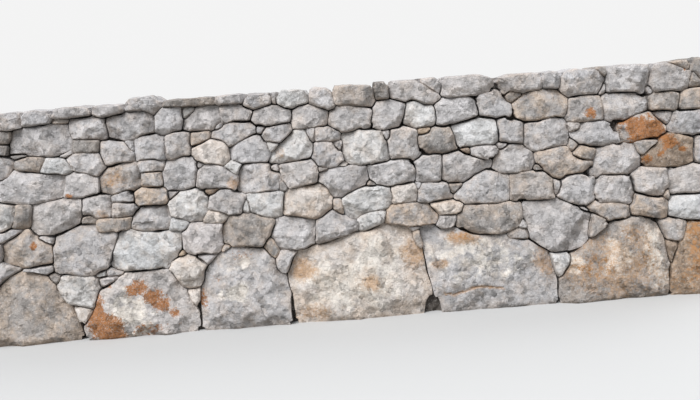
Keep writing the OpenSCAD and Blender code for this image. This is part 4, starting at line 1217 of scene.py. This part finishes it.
    def faceted(self, flat: Array, outer: Array, radius: Array, reach: float, chance: Chance) -> Array:
        """Tilt and bulge a face, and break leaning facets off all round it.

        Args:
            flat: Places on the face, from its middle.
            outer: Corners of the outline, from its middle.
            radius: Share of the way from the middle to the rim.
            reach: Half the width of the stone, within bounds.
            chance: Source of random values.

        Returns:
            The drop at each place.
        """
        carving = self.carving
        downhill = heading(chance.uniform(0, math.tau))
        drop = chance.uniform(*carving.tilt) * (flat @ downhill)
        drop += carving.bulge * reach * radius**carving.bulge_power
        start_angle = chance.uniform(0, math.tau)
        for facet in range(carving.facets):
            turn = facet + chance.uniform(-carving.facet_turn, carving.facet_turn)
            towards = heading(start_angle + math.tau * turn / carving.facets)
            start = chance.uniform(*carving.facet_start) * (outer @ towards).max()
            slope = chance.uniform(*carving.facet_slope)
            drop = smooth_top(drop, slope * (flat @ towards - start), carving.facet_ease)
        return drop

    def chipped(self, flat: Array, outer: Array, reach: float, chance: Chance) -> Array:
        """Knock rounded chips out of a face.

        Args:
            flat: Places on the face, from its middle.
            outer: Corners of the outline, from its middle.
            reach: Half the width of the stone, within bounds.
            chance: Source of random values.

        Returns:
            The drop that the chips add at each place.
        """
        carving = self.carving
        drop = np.zeros(len(flat))
        for _ in range(carving.chips):
            towards = heading(chance.uniform(0, math.tau))
            centre = towards * (outer @ towards).max() * chance.uniform(*carving.chip_place)
            size = chance.uniform(*carving.chip_size) * reach
            depth = chance.uniform(*carving.chip_depth) * size
            away = np.linalg.norm(flat - centre, axis=1) / size
            drop += depth * np.clip(1 - away**2, 0, 1)
        return drop

    def ring_depths(self, start: Array, end: Array, through: bool) -> list[RingDepth]:
        """List how far behind the face each ring of the stone's sides lies.

        Args:
            start: Rim of the front face.
            end: Rim of the back face, or outline of the tail.
            through: Whether the back face is worn too.

        Returns:
            The rings in order from the front, without the two rims.
        """
        nearly_half = 0.45
        thickness = float(np.abs(end[:, 1] - start[:, 1]).mean())
        near = [station for station in self.carving.stations if station < nearly_half * thickness]
        rings = [RingDepth(station / thickness, station) for station in near]
        if not through:
            return [*rings, RingDepth(1.0, thickness)]
        step = self.carving.through_step
        inner = np.arange(near[-1] + step, thickness - near[-1] - step / 2, step)
        rings += [RingDepth(place / thickness, min(place, thickness - place)) for place in inner]
        return rings + [RingDepth(1 - station / thickness, station) for station in reversed(near)]

    def side_ring(self, rim: Rim, start: Array, end: Array, depth: RingDepth) -> Array:
        """Place one ring of the stone's sides.

        Args:
            rim: Rim of the stone.
            start: Rim of the front face.
            end: Rim of the back face, or outline of the tail.
            depth: Where the ring lies.

        Returns:
            The points of the ring.
        """
        y = start[:, 1] + (end[:, 1] - start[:, 1]) * depth.share
        flat = rim.worn_at(y, depth.reach)
        return np.column_stack([flat[:, 0], y, flat[:, 1]])


def encloses(outline: Array, along: float, height: float) -> bool:
    """Tell whether a place lies inside an outline.

    Args:
        outline: Corners, as rows of X and Z.
        along: X of the place.
        height: Its height.

    Returns:
        True inside.
    """
    crossings = 0
    for start, end in zip(outline, np.roll(outline, -1, axis=0)):
        if (start[1] > height) != (end[1] > height):
            share = (height - start[1]) / (end[1] - start[1])
            crossings += along < start[0] + share * (end[0] - start[0])
    return crossings % 2 == 1


def growth_at(points: Array, outline: Array) -> Painted:
    """Work out how much lichen, rust and bare stone there is at each point of a stone.

    Args:
        points: Places on the stone.
        outline: Its outline. A patch keeps to the stone that holds its middle.

    Returns:
        For each of them by its name, a value from 0 to 1 at each point.
    """
    patch_edge, ragged, faint, rust_spread = 1.35, 0.45, 0.6, 2
    along = points[:, 0] + SURVEY_LENGTH / 2
    height = points[:, 2]
    on_back = points[:, 1] > 0
    found = {growth.value: np.zeros(len(points)) for growth in Growth}
    warp = ragged * layered_noise(points, wavelength=0.11, layers=3, seed=77)
    for patch in PATCHES:
        if not encloses(outline, patch.along - SURVEY_LENGTH / 2, patch.height):
            continue
        away = np.hypot((along - patch.along) / patch.reach_along, (height - patch.height) / patch.reach_up)
        amount = patch.strength * np.clip(patch_edge - away + warp, 0, 1)
        amount = np.where(on_back, faint * amount, amount)
        found[patch.growth.value] = np.maximum(found[patch.growth.value], amount)
    rust = Growth.RUST.value
    for crack in CRACKS:
        amount = crack.rust * np.exp(-((crack.distance(along, height) / (rust_spread * crack.width)) ** 2))
        found[rust] = np.maximum(found[rust], np.where(on_back, 0, amount))
    return found


# Finishes


class Sockets:
    """Short ways to place, feed and join the nodes of a material, a group or the world."""

    def __init__(self, tree: bpy.types.NodeTree) -> None:
        """Keep the tree that the nodes go in."""
        self.tree = tree

    def feed(self, node: bpy.types.Node, inputs: Inputs) -> None:
        """Join or set the inputs of a node.

        Args:
            node: The node.
            inputs: What goes into its inputs, by their names or numbers. A socket is joined, a value is set.
        """
        for name, value in inputs.items():
            slot = node.inputs[name]
            if isinstance(value, Socket):
                self.tree.links.new(value, slot)
            else:
                slot.default_value = (*value, 1) if slot.type == "RGBA" else value

    def node(self, kind: str, inputs: Inputs | None = None, **settings: object) -> bpy.types.Node:
        """Place a node.

        Args:
            kind: Its type name.
            inputs: What goes into its inputs.
            settings: Its own settings, by their names.

        Returns:
            The node.
        """
        made = self.tree.nodes.new(kind)
        for name, value in settings.items():
            setattr(made, name, value)
        self.feed(made, inputs or {})
        return made

    def noise(self, place: Socket, scale: float, detail: float, rough: float) -> Socket:
        """Place a noise texture.

        Args:
            place: Coordinates that it reads.
            scale: Bumps to the metre.
            detail: Number of finer layers.
            rough: How much the finer layers count.

        Returns:
            Its value.
        """
        inputs = {"Vector": place, "Scale": scale, "Detail": detail, "Roughness": rough}
        return self.node("ShaderNodeTexNoise", inputs).outputs["Fac"]

    def ramp(self, value: Socket, *stops: tuple[float, float]) -> Socket:
        """Reshape a value between stops.

        Args:
            value: The value.
            stops: Pairs of where a stop stands and what it gives.

        Returns:
            The reshaped value.
        """
        made = self.node("ShaderNodeValToRGB", {"Fac": value})
        elements = made.color_ramp.elements
        while len(elements) < len(stops):
            elements.new(0.5)
        for element, (where, level) in zip(elements, stops):
            element.position = where
            element.color = (level, level, level, 1)
        return made.outputs["Color"]

    def times(self, first: Socket, second: Socket | float) -> Socket:
        """Multiply two values."""
        return self.node("ShaderNodeMath", {0: first, 1: second}, operation="MULTIPLY").outputs[0]

    def plus(self, first: Socket, second: Socket | float) -> Socket:
        """Add two values."""
        return self.node("ShaderNodeMath", {0: first, 1: second}, operation="ADD").outputs[0]

    def mix(
        self, blend: str, amount: Socket | float, first: Socket | Color, second: Socket | Color
    ) -> Socket:
        """Mix two colours.

        Args:
            blend: Blend type.
            amount: How much of the second one.
            first: The first colour.
            second: The second colour.

        Returns:
            The mixed colour.
        """
        inputs = {"Factor": amount, 6: first, 7: second}
        return self.node("ShaderNodeMix", inputs, data_type="RGBA", blend_type=blend).outputs[2]

    def painted(self, name: str) -> Socket:
        """Read a value that is painted on the points of a piece."""
        return self.node("ShaderNodeAttribute", attribute_name=name).outputs["Fac"]

    def show_to_camera(self, seen: bpy.types.Node, otherwise: bpy.types.Node, output: str) -> None:
        """Show one shader to the camera and let another one act on everything else.

        Args:
            seen: The shader that the camera sees.
            otherwise: The other shader.
            output: Type of the tree's output node.
        """
        seen_here = self.node("ShaderNodeLightPath").outputs["Is Camera Ray"]
        mixed = self.node("ShaderNodeMixShader", {0: seen_here, 1: otherwise.outputs[0], 2: seen.outputs[0]})
        self.feed(next(node for node in self.tree.nodes if node.type == output), {0: mixed.outputs[0]})


class EffectGroup(Sockets):
    """Shader group that the finishes share."""

    def __init__(self, name: str, inputs: dict[str, str], outputs: dict[str, str]) -> None:
        """Start the group with its own inputs and outputs.

        Args:
            name: Its name.
            inputs: Kind of each input by its name.
            outputs: Kind of each output by its name.
        """
        super().__init__(bpy.data.node_groups.new(name, "ShaderNodeTree"))
        for in_out, sockets in (("INPUT", inputs), ("OUTPUT", outputs)):
            for label, kind in sockets.items():
                self.tree.interface.new_socket(name=label, in_out=in_out, socket_type=f"NodeSocket{kind}")
        self.given = self.node("NodeGroupInput").outputs
        self.result = self.node("NodeGroupOutput")

    def leaning_facets(self, place: Socket, scale: float) -> Socket:
        """Break a surface into small facets that each lean their own way.

        Args:
            place: Coordinates that the facets are laid out in.
            scale: Facets to the metre.

        Returns:
            The height of the facets in metres.
        """
        cells = self.node("ShaderNodeTexVoronoi", {"Vector": place, "Scale": scale}, feature="F1")
        from_cell = {0: place, 1: cells.outputs["Position"]}
        away = self.node("ShaderNodeVectorMath", from_cell, operation="SUBTRACT")
        from_middle = {0: cells.outputs["Color"], 1: (0.5, 0.5, 0.5)}
        lean = self.node("ShaderNodeVectorMath", from_middle, operation="SUBTRACT")
        both = {0: away.outputs[0], 1: lean.outputs[0]}
        return self.node("ShaderNodeVectorMath", both, operation="DOT_PRODUCT").outputs["Value"]


class StoneEffects:
    """Shader groups that every stone finish of the wall shares."""

    def __init__(self) -> None:
        """Build the groups once."""
        self.mottle = self.build_mottle()
        self.lichen = self.build_lichen()
        self.grain = self.build_grain()

    def build_mottle(self) -> bpy.types.NodeTree:
        """Build the group that clouds a limestone tone and sprinkles it with pits and buff stains.

        Returns:
            The group.
        """
        values = dict.fromkeys(("Rim", "Worn", "Bare", "Stain"), "Float")
        inputs = {"Place": "Vector", "Tone": "Color"} | values
        group = EffectGroup("limestone_mottle", inputs, {"Color": "Color"})
        place, bare, stain = group.given["Place"], group.given["Bare"], group.given["Stain"]
        bare_stone, buff_earth, pale_grain = (0.76, 0.705, 0.64), (0.60, 0.47, 0.365), (0.82, 0.795, 0.77)

        clouds = group.noise(place, scale=6.0, detail=4.0, rough=0.6)
        patches = group.noise(place, scale=15.0, detail=6.0, rough=0.62)
        specks = group.noise(place, scale=90.0, detail=4.0, rough=0.60)
        earth = group.noise(place, scale=10.0, detail=8.0, rough=0.72)
        light = group.ramp(clouds, (0.32, 0.86), (0.68, 1.10))
        color = group.mix("MULTIPLY", 1.0, group.given["Tone"], light)

        bared = group.ramp(group.plus(group.times(bare, 0.34), patches), (0.56, 0.0), (0.74, 1.0))
        bared = group.times(bared, group.ramp(bare, (0.02, 0.0), (0.25, 0.9)))
        color = group.mix("MIX", bared, color, bare_stone)

        reach = group.plus(earth, group.times(group.given["Rim"], 0.10))
        reach = group.plus(reach, group.times(stain, 0.12))
        buff = group.times(group.ramp(reach, (0.52, 0.0), (0.70, 1.0)), group.times(stain, 0.95))
        color = group.mix("MIX", buff, color, buff_earth)

        blotches = group.ramp(patches, (0.34, 0.84), (0.50, 1.0), (0.66, 1.09))
        color = group.mix("MULTIPLY", 1.0, color, blotches)
        # Darker in the hollows and lighter on the ridges, by how far each point stands out of the hollows.
        ridges = group.ramp(group.given["Worn"], (0.20, 0.84), (0.55, 1.0), (0.85, 1.12))
        color = group.mix("MULTIPLY", 1.0, color, ridges)
        color = group.mix("MULTIPLY", 0.8, color, group.ramp(specks, (0.30, 0.74), (0.44, 1.0)))
        color = group.mix("MIX", group.ramp(specks, (0.56, 0.0), (0.70, 0.42)), color, pale_grain)
        group.feed(group.result, {"Color": color})
        return group.tree

    def build_lichen(self) -> bpy.types.NodeTree:
        """Build the group that breaks painted lichen and rust into ragged crusts.

        Returns:
            The group.
        """
        inputs = {"Place": "Vector", "Base": "Color", "Lichen": "Float", "Rust": "Float"}
        group = EffectGroup("lichen_and_rust", inputs, {"Color": "Color"})
        place, lichen, rust = group.given["Place"], group.given["Lichen"], group.given["Rust"]
        dark_lichen, orange_lichen = (0.22, 0.080, 0.022), (0.47, 0.205, 0.072)
        rust_brown = (0.45, 0.26, 0.125)

        ragged = group.noise(place, scale=42.0, detail=8.0, rough=0.85)
        fine = group.noise(place, scale=120.0, detail=5.0, rough=0.7)
        crust = group.ramp(group.plus(group.times(lichen, 0.36), ragged), (0.66, 0.0), (0.72, 1.0))
        crust = group.times(crust, group.ramp(fine, (0.36, 0.40), (0.48, 1.0)))
        crust = group.times(crust, group.ramp(lichen, (0.02, 0.0), (0.12, 1.0)))
        shade = group.mix("MIX", fine, dark_lichen, orange_lichen)
        color = group.mix("MIX", group.times(crust, 0.96), group.given["Base"], shade)

        stained = group.ramp(group.plus(group.times(rust, 0.30), ragged), (0.55, 0.0), (0.76, 1.0))
        stained = group.times(stained, group.ramp(rust, (0.02, 0.0), (0.2, 1.0)))
        color = group.mix("MIX", group.times(stained, 0.72), color, rust_brown)
        group.feed(group.result, {"Color": color})
        return group.tree

    def build_grain(self) -> bpy.types.NodeTree:
        """Build the group that gives the height of the stone's grain, pits and fine breaks.

        Returns:
            The group.
        """
        group = EffectGroup("broken_grain", {"Place": "Vector"}, {"Height": "Float", "Roughness": "Float"})
        place = group.given["Place"]
        breaks = group.noise(place, scale=40.0, detail=6.0, rough=0.66)
        grain = group.noise(place, scale=210.0, detail=4.0, rough=0.6)
        sway = group.node("ShaderNodeTexNoise", {"Vector": place, "Scale": 16.0, "Detail": 2.0})
        swayed = {0: sway.outputs["Color"], 1: (0.05, 0.05, 0.05), 2: place}
        bent = group.node("ShaderNodeVectorMath", swayed, operation="MULTIPLY_ADD").outputs[0]
        height = group.times(group.leaning_facets(bent, scale=22.0), 0.75)
        height = group.plus(height, group.times(group.leaning_facets(bent, scale=60.0), 0.5))
        height = group.plus(height, group.times(breaks, 0.010))
        height = group.plus(height, group.times(grain, 0.0012))
        rough = group.ramp(grain, (0.3, 0.98), (0.7, 0.82))
        group.feed(group.result, {"Height": height, "Roughness": rough})
        return group.tree


@dataclass(frozen=True)
class StoneFinish:
    """Finish of one kind of stone, with the tones painted on its pieces or one tone of its own."""

    name: str
    tone: Color | None = None
    # Painted shade on faces that point down: how strongly they are darkened, and the brown that tints them.
    underside_shade: float = 0.45
    underside_shade_tint: Color = (0.62, 0.54, 0.46)
    specular: float = 0.25

    def build(self, effects: StoneEffects) -> bpy.types.Material:
        """Build the material.

        Args:
            effects: The shared groups.

        Returns:
            The material.
        """
        material = bpy.data.materials.new(self.name)
        material.use_nodes = True
        sockets = Sockets(material.node_tree)
        place = sockets.node("ShaderNodeTexCoord").outputs["Object"]
        mottle = sockets.node("ShaderNodeGroup", {"Place": place}, node_tree=effects.mottle)
        if self.tone:
            sockets.feed(mottle, {"Tone": self.tone})
        else:
            tone = sockets.node("ShaderNodeAttribute", attribute_name="tone").outputs
            sockets.feed(mottle, {"Tone": tone["Color"], "Stain": tone["Alpha"]})
            sockets.feed(mottle, {name: sockets.painted(name.lower()) for name in ("Rim", "Worn", "Bare")})
        # Painted shade: faces that point down are darkened and tinted brown in the colour.
        painted_shade = self.painted_underside_shade(sockets)
        color = sockets.mix("MULTIPLY", painted_shade, mottle.outputs["Color"], self.underside_shade_tint)
        if not self.tone:
            growth = {name: sockets.painted(name.lower()) for name in ("Lichen", "Rust")}
            inputs = {"Place": place, "Base": color} | growth
            color = sockets.node("ShaderNodeGroup", inputs, node_tree=effects.lichen).outputs["Color"]
        grain = sockets.node("ShaderNodeGroup", {"Place": place}, node_tree=effects.grain).outputs
        bump = sockets.node("ShaderNodeBump", {"Strength": 1.0, "Distance": 1.0, "Height": grain["Height"]})
        shader = material.node_tree.nodes["Principled BSDF"]
        sockets.feed(shader, {"Base Color": color, "Roughness": grain["Roughness"]})
        sockets.feed(shader, {"Normal": bump.outputs["Normal"], "Specular IOR Level": self.specular})
        return material

    def painted_underside_shade(self, sockets: Sockets) -> Socket:
        """Find the undersides, which get painted shade tinted brown.

        Args:
            sockets: Helper of the material's tree.

        Returns:
            How much of the painted shade shows.
        """
        normal = sockets.node("ShaderNodeNewGeometry").outputs["Normal"]
        parts = sockets.node("ShaderNodeSeparateXYZ", {0: normal})
        down = sockets.times(parts.outputs["Z"], -1.0)
        return sockets.times(sockets.ramp(down, (0.05, 0.0), (0.75, 1.0)), self.underside_shade)


# The parts of the wall


@dataclass
class StoneGroup:
    """Stones of the frame that have one finish."""

    effects: StoneEffects
    shape: WallShape
    nodes: dict[str, bpy.types.Object]
    joints: Joints
    finish: StoneFinish
    warmth: float = 0.015
    shade: tuple[float, float] = (0.93, 1.07)
    brightest: float = 0.8
    stain: tuple[float, float] = (0.6, 1.3)

    def __post_init__(self) -> None:
        """Build the finish."""
        self.material = self.finish.build(self.effects)

    def blanks_of(self, node: str) -> list[Blank]:
        """Read the stones of a node, from left to right."""
        return read_blanks(self.nodes[node], self.shape)

    def dress(
        self,
        node: str,
        slot: str,
        letters: str,
        seed: int,
        carving: Carving,
        blanks: list[Blank] | None = None,
        wedge_carving: Carving | None = None,
    ) -> None:
        """Carve the stones of one node and let the piece stand for it.

        Args:
            node: Name of the node.
            slot: Material slot of the record, handed on to stand_in, which does not use it.
            letters: Letter of the tone of each stone.
            seed: Number that picks the breaks.
            carving: How the stones are broken.
            blanks: The stones in the order of their tones, if not from left to right.
            wedge_carving: How the wedges are broken, if otherwise.
        """
        blanks = blanks or self.blanks_of(node)
        carver = Carver(carving, self.joints)
        wedge_carver = Carver(wedge_carving or carving, self.joints)
        surface = Surface()
        chance = np.random.default_rng(seed)
        for index, (blank, letter) in enumerate(zip(blanks, letters)):
            carved = (wedge_carver if blank.wedge else carver).carve(blank, seed + STONE_SEEDS * index)
            tone = TONE_LETTERS[letter]
            warmth = chance.uniform(-self.warmth, self.warmth)
            shade = chance.uniform(*self.shade) * np.array([1 + warmth, 1.0, 1 - warmth])
            color = tuple(float(c) for c in np.clip(np.array(tone.value) * shade, 0, self.brightest))
            surface.add(carved, color, TONE_STAINS.get(tone, PLAIN_STAIN) * chance.uniform(*self.stain))
        LOG.info("%s: %d stones", node, len(blanks))
        self.stand_in(surface, node + "_stone", node, slot, carving.crisp_angle)

    def stand_in(self, surface: Surface, name: str, node: str, slot: str, crisp_angle: float) -> None:
        """Build a piece and let it stand for a node of the frame.

        Args:
            surface: The piece so far.
            name: Its name.
            node: Name of the node.
            slot: Material slot of the record. It is not used.
            crisp_angle: Angle between faces, in degrees, above which an edge stays crisp.
        """
        piece = surface.build(name, self.material, crisp_angle)
        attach(piece, ROOT_BODY)
        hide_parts(node)
        LOG.info("%s: %d faces", piece.name, len(piece.data.polygons))


@dataclass
class Boulders(StoneGroup):
    """The base boulders of both faces and the two that run through the ends."""

    finish: StoneFinish = StoneFinish("boulder_limestone")
    front: Carving = Carving(56, (0.005, 0.016, 0.04, 0.08, 0.14), bulge=0.06, facets=9, chips=8,
                             facet_slope=(0.10, 0.48), wave=0.06, flake_size=0.15, flake_depth=0.034,
                             roughness=0.0030, arris=0.002, lip=0.009, side_wobble=0.010, deepest=0.095)
    back: Carving = replace(front, face_squares=36, stations=(0.005, 0.016, 0.05, 0.12))
    ends: Carving = replace(front, face_squares=36, stations=(0.005, 0.016, 0.04), chips=6,
                            side_wobble=0.008, open_depth=0.018)

    def build(self) -> None:
        """Carve every boulder of the foot."""
        for number, letter in enumerate(BOULDER_TONES, start=1):
            for face, carving, seed in (("front", self.front, 500), ("back", self.back, 900)):
                self.dress(f"{face}_boulder_{number}", "base_boulder", letter, seed + number, carving)
        self.dress("left_end_boulder", "end_boulder", LEFT_END_TONE, seed=701, carving=self.ends)
        self.dress("right_end_boulder", "end_boulder", RIGHT_END_TONE, seed=702, carving=self.ends)


@dataclass
class Courses(StoneGroup):
    """The coursed stones and wedges of both faces."""

    finish: StoneFinish = StoneFinish("course_limestone")
    front: Carving = Carving(26, (0.004, 0.012, 0.035, 0.08, 0.13))
    back: Carving = Carving(16, (0.004, 0.012, 0.05, 0.11))
    wedge: Carving = Carving(8, (0.004, 0.012, 0.04), facets=4, chips=1, flake_size=0.05, flake_depth=0.010)
    course_seeds: int = 400

    def build(self) -> None:
        """Carve every course."""
        for number, (stone_letters, wedge_letters) in COURSE_TONES.items():
            for face, carving, seed in (("front", self.front, 1000), ("back", self.back, 5000)):
                node = f"{face}_course_{number}"
                blanks = sorted(self.blanks_of(node), key=lambda blank: blank.wedge)
                letters = stone_letters + wedge_letters
                seed += self.course_seeds * number
                self.dress(node, "course_stone", letters, seed, carving, blanks, self.wedge)


@dataclass
class WallHeads(StoneGroup):
    """The through stones that close the ends of the wall."""

    finish: StoneFinish = StoneFinish("head_limestone")
    carving: Carving = Carving(18, (0.004, 0.014, 0.035), side_wobble=0.006, inner_growth=0.004,
                               open_depth=0.020)
    same_level: float = 0.01

    def build(self) -> None:
        """Carve both wall heads, whose tones go by level from the lowest up."""
        heads = (("left_wall_head", LEFT_HEAD_TONES, 7100), ("right_wall_head", RIGHT_HEAD_TONES, 7600))
        for node, letters, seed in heads:
            blanks = sorted(self.blanks_of(node), key=lambda blank: blank.middle[1])
            heights = np.array([blank.middle[1] for blank in blanks])
            levels = [heights[0]]
            for height in heights:
                if height - levels[-1] > self.same_level:
                    levels.append(height)
            nearest = np.abs(heights[:, None] - np.array(levels)[None, :]).argmin(axis=1)
            picked = "".join(letters[level] for level in nearest)
            self.dress(node, "head_stone", picked, seed, self.carving, blanks)


@dataclass
class Coping(StoneGroup):
    """The cap stones and what is wedged between them."""

    finish: StoneFinish = StoneFinish("coping_limestone")
    carving: Carving = Carving(18, (0.004, 0.014, 0.035), side_wobble=0.006, inner_growth=0.006,
                               open_depth=0.014)

    def build(self) -> None:
        """Carve the coping."""
        for number, letter in enumerate(CAP_TONES, start=1):
            self.dress(f"cap_stone_{number}", "cap_stone", letter, seed=8000 + number, carving=self.carving)
        self.dress("cap_fillers", "cap_stone", FILLER_TONES, seed=8600, carving=self.carving)


@dataclass
class Hearting(StoneGroup):
    """The rubble packed between the two faces, which shows dark in the open joints."""

    finish: StoneFinish = StoneFinish("packed_rubble", tone=(0.15, 0.13, 0.115))
    square: float = 0.022
    rubble: float = 0.065
    finer_share: float = 0.35
    highest_heap: float = 1.2
    reach_out: float = 0.070
    pressed_in: float = 0.012
    across_steps: int = 6
    crisp_angle: float = 40.0
    sides_apart: float = 9.0

    def build(self) -> None:
        """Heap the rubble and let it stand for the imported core."""
        low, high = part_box("hearting")
        columns = int((high.x - low.x) / self.square)
        rows = int(high.z / self.square)
        along = np.linspace(low.x, high.x, columns + 1)
        crown = self.crown_heights(along)
        x = np.tile(along, rows + 1)
        z = (np.linspace(0, 1, rows + 1)[:, None] * crown[None, :]).ravel()
        core = Plane(FRONT, abs(low.y), self.shape.batter)
        sheets = []
        for side in (FRONT, BACK):
            place = np.column_stack([x + self.sides_apart * side, z])
            heap = pebble_relief(place, self.rubble, seed=40 + side)
            finer = pebble_relief(np.column_stack([x, z + side]), self.rubble / 2, seed=60 + side)
            heap = np.clip(heap + self.finer_share * finer, 0, self.highest_heap) / self.highest_heap
            sheets.append(np.column_stack([x, side * (core.across(z) + self.reach_out * heap), z]))
        points, faces = self.closed_block(sheets, columns, rows)
        surface = Surface()
        unpainted = dict.fromkeys(PAINTED, np.zeros(len(points)))
        surface.add(Carved(points, faces, unpainted), Tone.BROWN.value, PLAIN_STAIN)
        self.stand_in(surface, "hearting_rubble", "hearting", "hearting", self.crisp_angle)

    def crown_heights(self, along: Array) -> Array:
        """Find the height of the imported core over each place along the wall.

        Args:
            along: Places along the wall.

        Returns:
            The height of its bed at each place.
        """
        same_place = 1e-6
        (corners, triangles), *_ = islands(self.nodes["hearting"])
        crown = np.zeros(len(along))
        for triangle in corners[triangles]:
            for start, end in zip(triangle, np.roll(triangle, -1, axis=0)):
                left, right = (start, end) if start[0] < end[0] else (end, start)
                if right[0] - left[0] < same_place:
                    continue
                inside = (along >= left[0] - same_place) & (along <= right[0] + same_place)
                level = left[2] + (along - left[0]) / (right[0] - left[0]) * (right[2] - left[2])
                crown = np.where(inside, np.maximum(crown, level), crown)
        coping = [blank for blank in self.joints.blanks if blank.front.slope == 0 and blank.shown_at_back]
        for index, place in enumerate(along):
            beds = [lowest_height(blank.outline, place) for blank in coping]
            crown[index] = max(crown[index], min((bed for bed in beds if bed is not None), default=0.0))
        return crown + self.pressed_in

    def closed_block(self, sheets: list[Array], columns: int, rows: int) -> tuple[Array, Faces]:
        """Close the front and back sheets of rubble into one block.

        Args:
            sheets: Points of the front sheet and of the back sheet.
            columns: Number of squares along a sheet.
            rows: Number of squares up a sheet.

        Returns:
            The points and faces of the block.
        """
        front, back = sheets
        faces: Faces = []
        for square in grid_faces(columns, rows):
            faces += [square, [len(front) + corner for corner in reversed(square)]]
        rim = grid_rim(columns, rows)
        points = [front, back]
        count = len(front) + len(back)
        last = rim
        for step in range(1, self.across_steps):
            share = step / self.across_steps
            points.append(front[rim] * (1 - share) + back[rim] * share)
            this = np.arange(count, count + len(rim))
            faces += ring_faces(last, this)
            last = this
            count += len(rim)
        faces += ring_faces(last, rim + len(front))
        return np.concatenate(points), faces


# Camera, floor and light


@dataclass(frozen=True)
class Standpoint:
    """Where the camera stands and how it is held."""

    distance: float = 6.0
    height: float = 1.50
    aim_height: float = 0.811
    roll_degrees: float = 4.5
    focal_pixels: float = 900.0
    picture_width: int = 700
    sensor_width: float = 36.0
    sees_to: float = 200.0

    def build(self, shape: WallShape) -> None:
        """Set the camera up.

        Args:
            shape: Planes of the wall, whose front face the camera looks at.
        """
        aim = Vector((0.0, -shape.half_at(self.aim_height), self.aim_height))
        rise = self.height - self.aim_height
        place = aim + Vector((0.0, -math.sqrt(self.distance**2 - rise**2), rise))
        forward = (aim - place).normalized()
        level_right = Vector((1.0, 0.0, 0.0))
        level_up = level_right.cross(forward)
        roll = math.radians(self.roll_degrees)
        right = math.cos(roll) * level_right - math.sin(roll) * level_up
        up = math.sin(roll) * level_right + math.cos(roll) * level_up
        data = bpy.data.cameras.new("camera")
        data.sensor_width = self.sensor_width
        data.lens = self.focal_pixels / self.picture_width * self.sensor_width
        data.clip_end = self.sees_to
        camera = bpy.data.objects.new("camera", data)
        camera.matrix_world = Matrix.Translation(place) @ Matrix((right, up, -forward)).transposed().to_4x4()
        bpy.context.scene.collection.objects.link(camera)
        bpy.context.scene.camera = camera


@dataclass(frozen=True)
class SoftLight:
    """Wide even light that comes from one side."""

    name: str
    towards: tuple[float, float, float]
    strength: float
    spread_degrees: float

    def build(self) -> None:
        """Hang the light."""
        data = bpy.data.lights.new(self.name, "SUN")
        data.energy = self.strength
        data.angle = math.radians(self.spread_degrees)
        lamp = bpy.data.objects.new(self.name, data)
        lamp.rotation_euler = (-Vector(self.towards)).to_track_quat("-Z", "Y").to_euler()
        bpy.context.scene.collection.objects.link(lamp)


@dataclass(frozen=True)
class Studio:
    """Plain pale floor and soft light."""

    floor_size: float = 400.0
    floor_seen: Color = (0.53, 0.53, 0.527)
    floor_roughness: float = 0.9
    floor_bounce: Color = (0.25, 0.25, 0.24)
    sky_seen: Color = (0.90, 0.90, 0.90)
    sky_light: Color = (0.93, 0.96, 1.0)
    sky_strength: float = 0.68
    lights: tuple[SoftLight, ...] = (
        SoftLight("key", (-0.42, -0.62, 0.80), strength=3.3, spread_degrees=38.0),
        SoftLight("rear", (0.55, 0.60, 0.65), strength=1.3, spread_degrees=50.0),
    )

    def build(self) -> None:
        """Lay the floor and hang the lights."""
        self.lay_floor()
        self.light_world()
        for light in self.lights:
            light.build()
        bpy.context.scene.view_settings.view_transform = "Standard"

    def lay_floor(self) -> None:
        """Lay the floor that the wall stands on."""
        half = self.floor_size / 2
        corners = [(-half, -half, 0), (half, -half, 0), (half, half, 0), (-half, half, 0)]
        mesh = bpy.data.meshes.new("floor")
        mesh.from_pydata(corners, [], [(0, 1, 2, 3)])
        floor = bpy.data.objects.new("floor", mesh)
        bpy.context.scene.collection.objects.link(floor)
        material = bpy.data.materials.new("pale_floor")
        material.use_nodes = True
        sockets = Sockets(material.node_tree)
        seen = material.node_tree.nodes["Principled BSDF"]
        look = {"Base Color": self.floor_seen, "Roughness": self.floor_roughness, "Specular IOR Level": 0.0}
        sockets.feed(seen, look)
        dull = sockets.node("ShaderNodeBsdfDiffuse", {"Color": self.floor_bounce})
        sockets.show_to_camera(seen, dull, "OUTPUT_MATERIAL")
        mesh.materials.append(material)

    def light_world(self) -> None:
        """Give the world a soft grey light and a pale background."""
        world = bpy.data.worlds.new("studio_sky")
        world.use_nodes = True
        bpy.context.scene.world = world
        sockets = Sockets(world.node_tree)
        lit = world.node_tree.nodes["Background"]
        sockets.feed(lit, {"Color": self.sky_light, "Strength": self.sky_strength})
        seen = sockets.node("ShaderNodeBackground", {"Color": self.sky_seen, "Strength": 1.0})
        sockets.show_to_camera(seen, lit, "OUTPUT_WORLD")


def main() -> None:
    """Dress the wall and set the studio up."""
    logging.basicConfig(level=logging.INFO, format="%(name)s: %(message)s")
    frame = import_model()
    shape = WallShape()
    effects = StoneEffects()
    Standpoint().build(shape)
    Studio().build()
    nodes = frame["nodes"]
    shown = [name for name in nodes if not name.startswith("back_") and name != "hearting"]
    joints = Joints([blank for name in sorted(shown) for blank in read_blanks(nodes[name], shape)])
    for part in (Boulders, Courses, WallHeads, Coping, Hearting):
        part(effects, shape, nodes, joints).build()


if __name__ == "__main__":
    main()
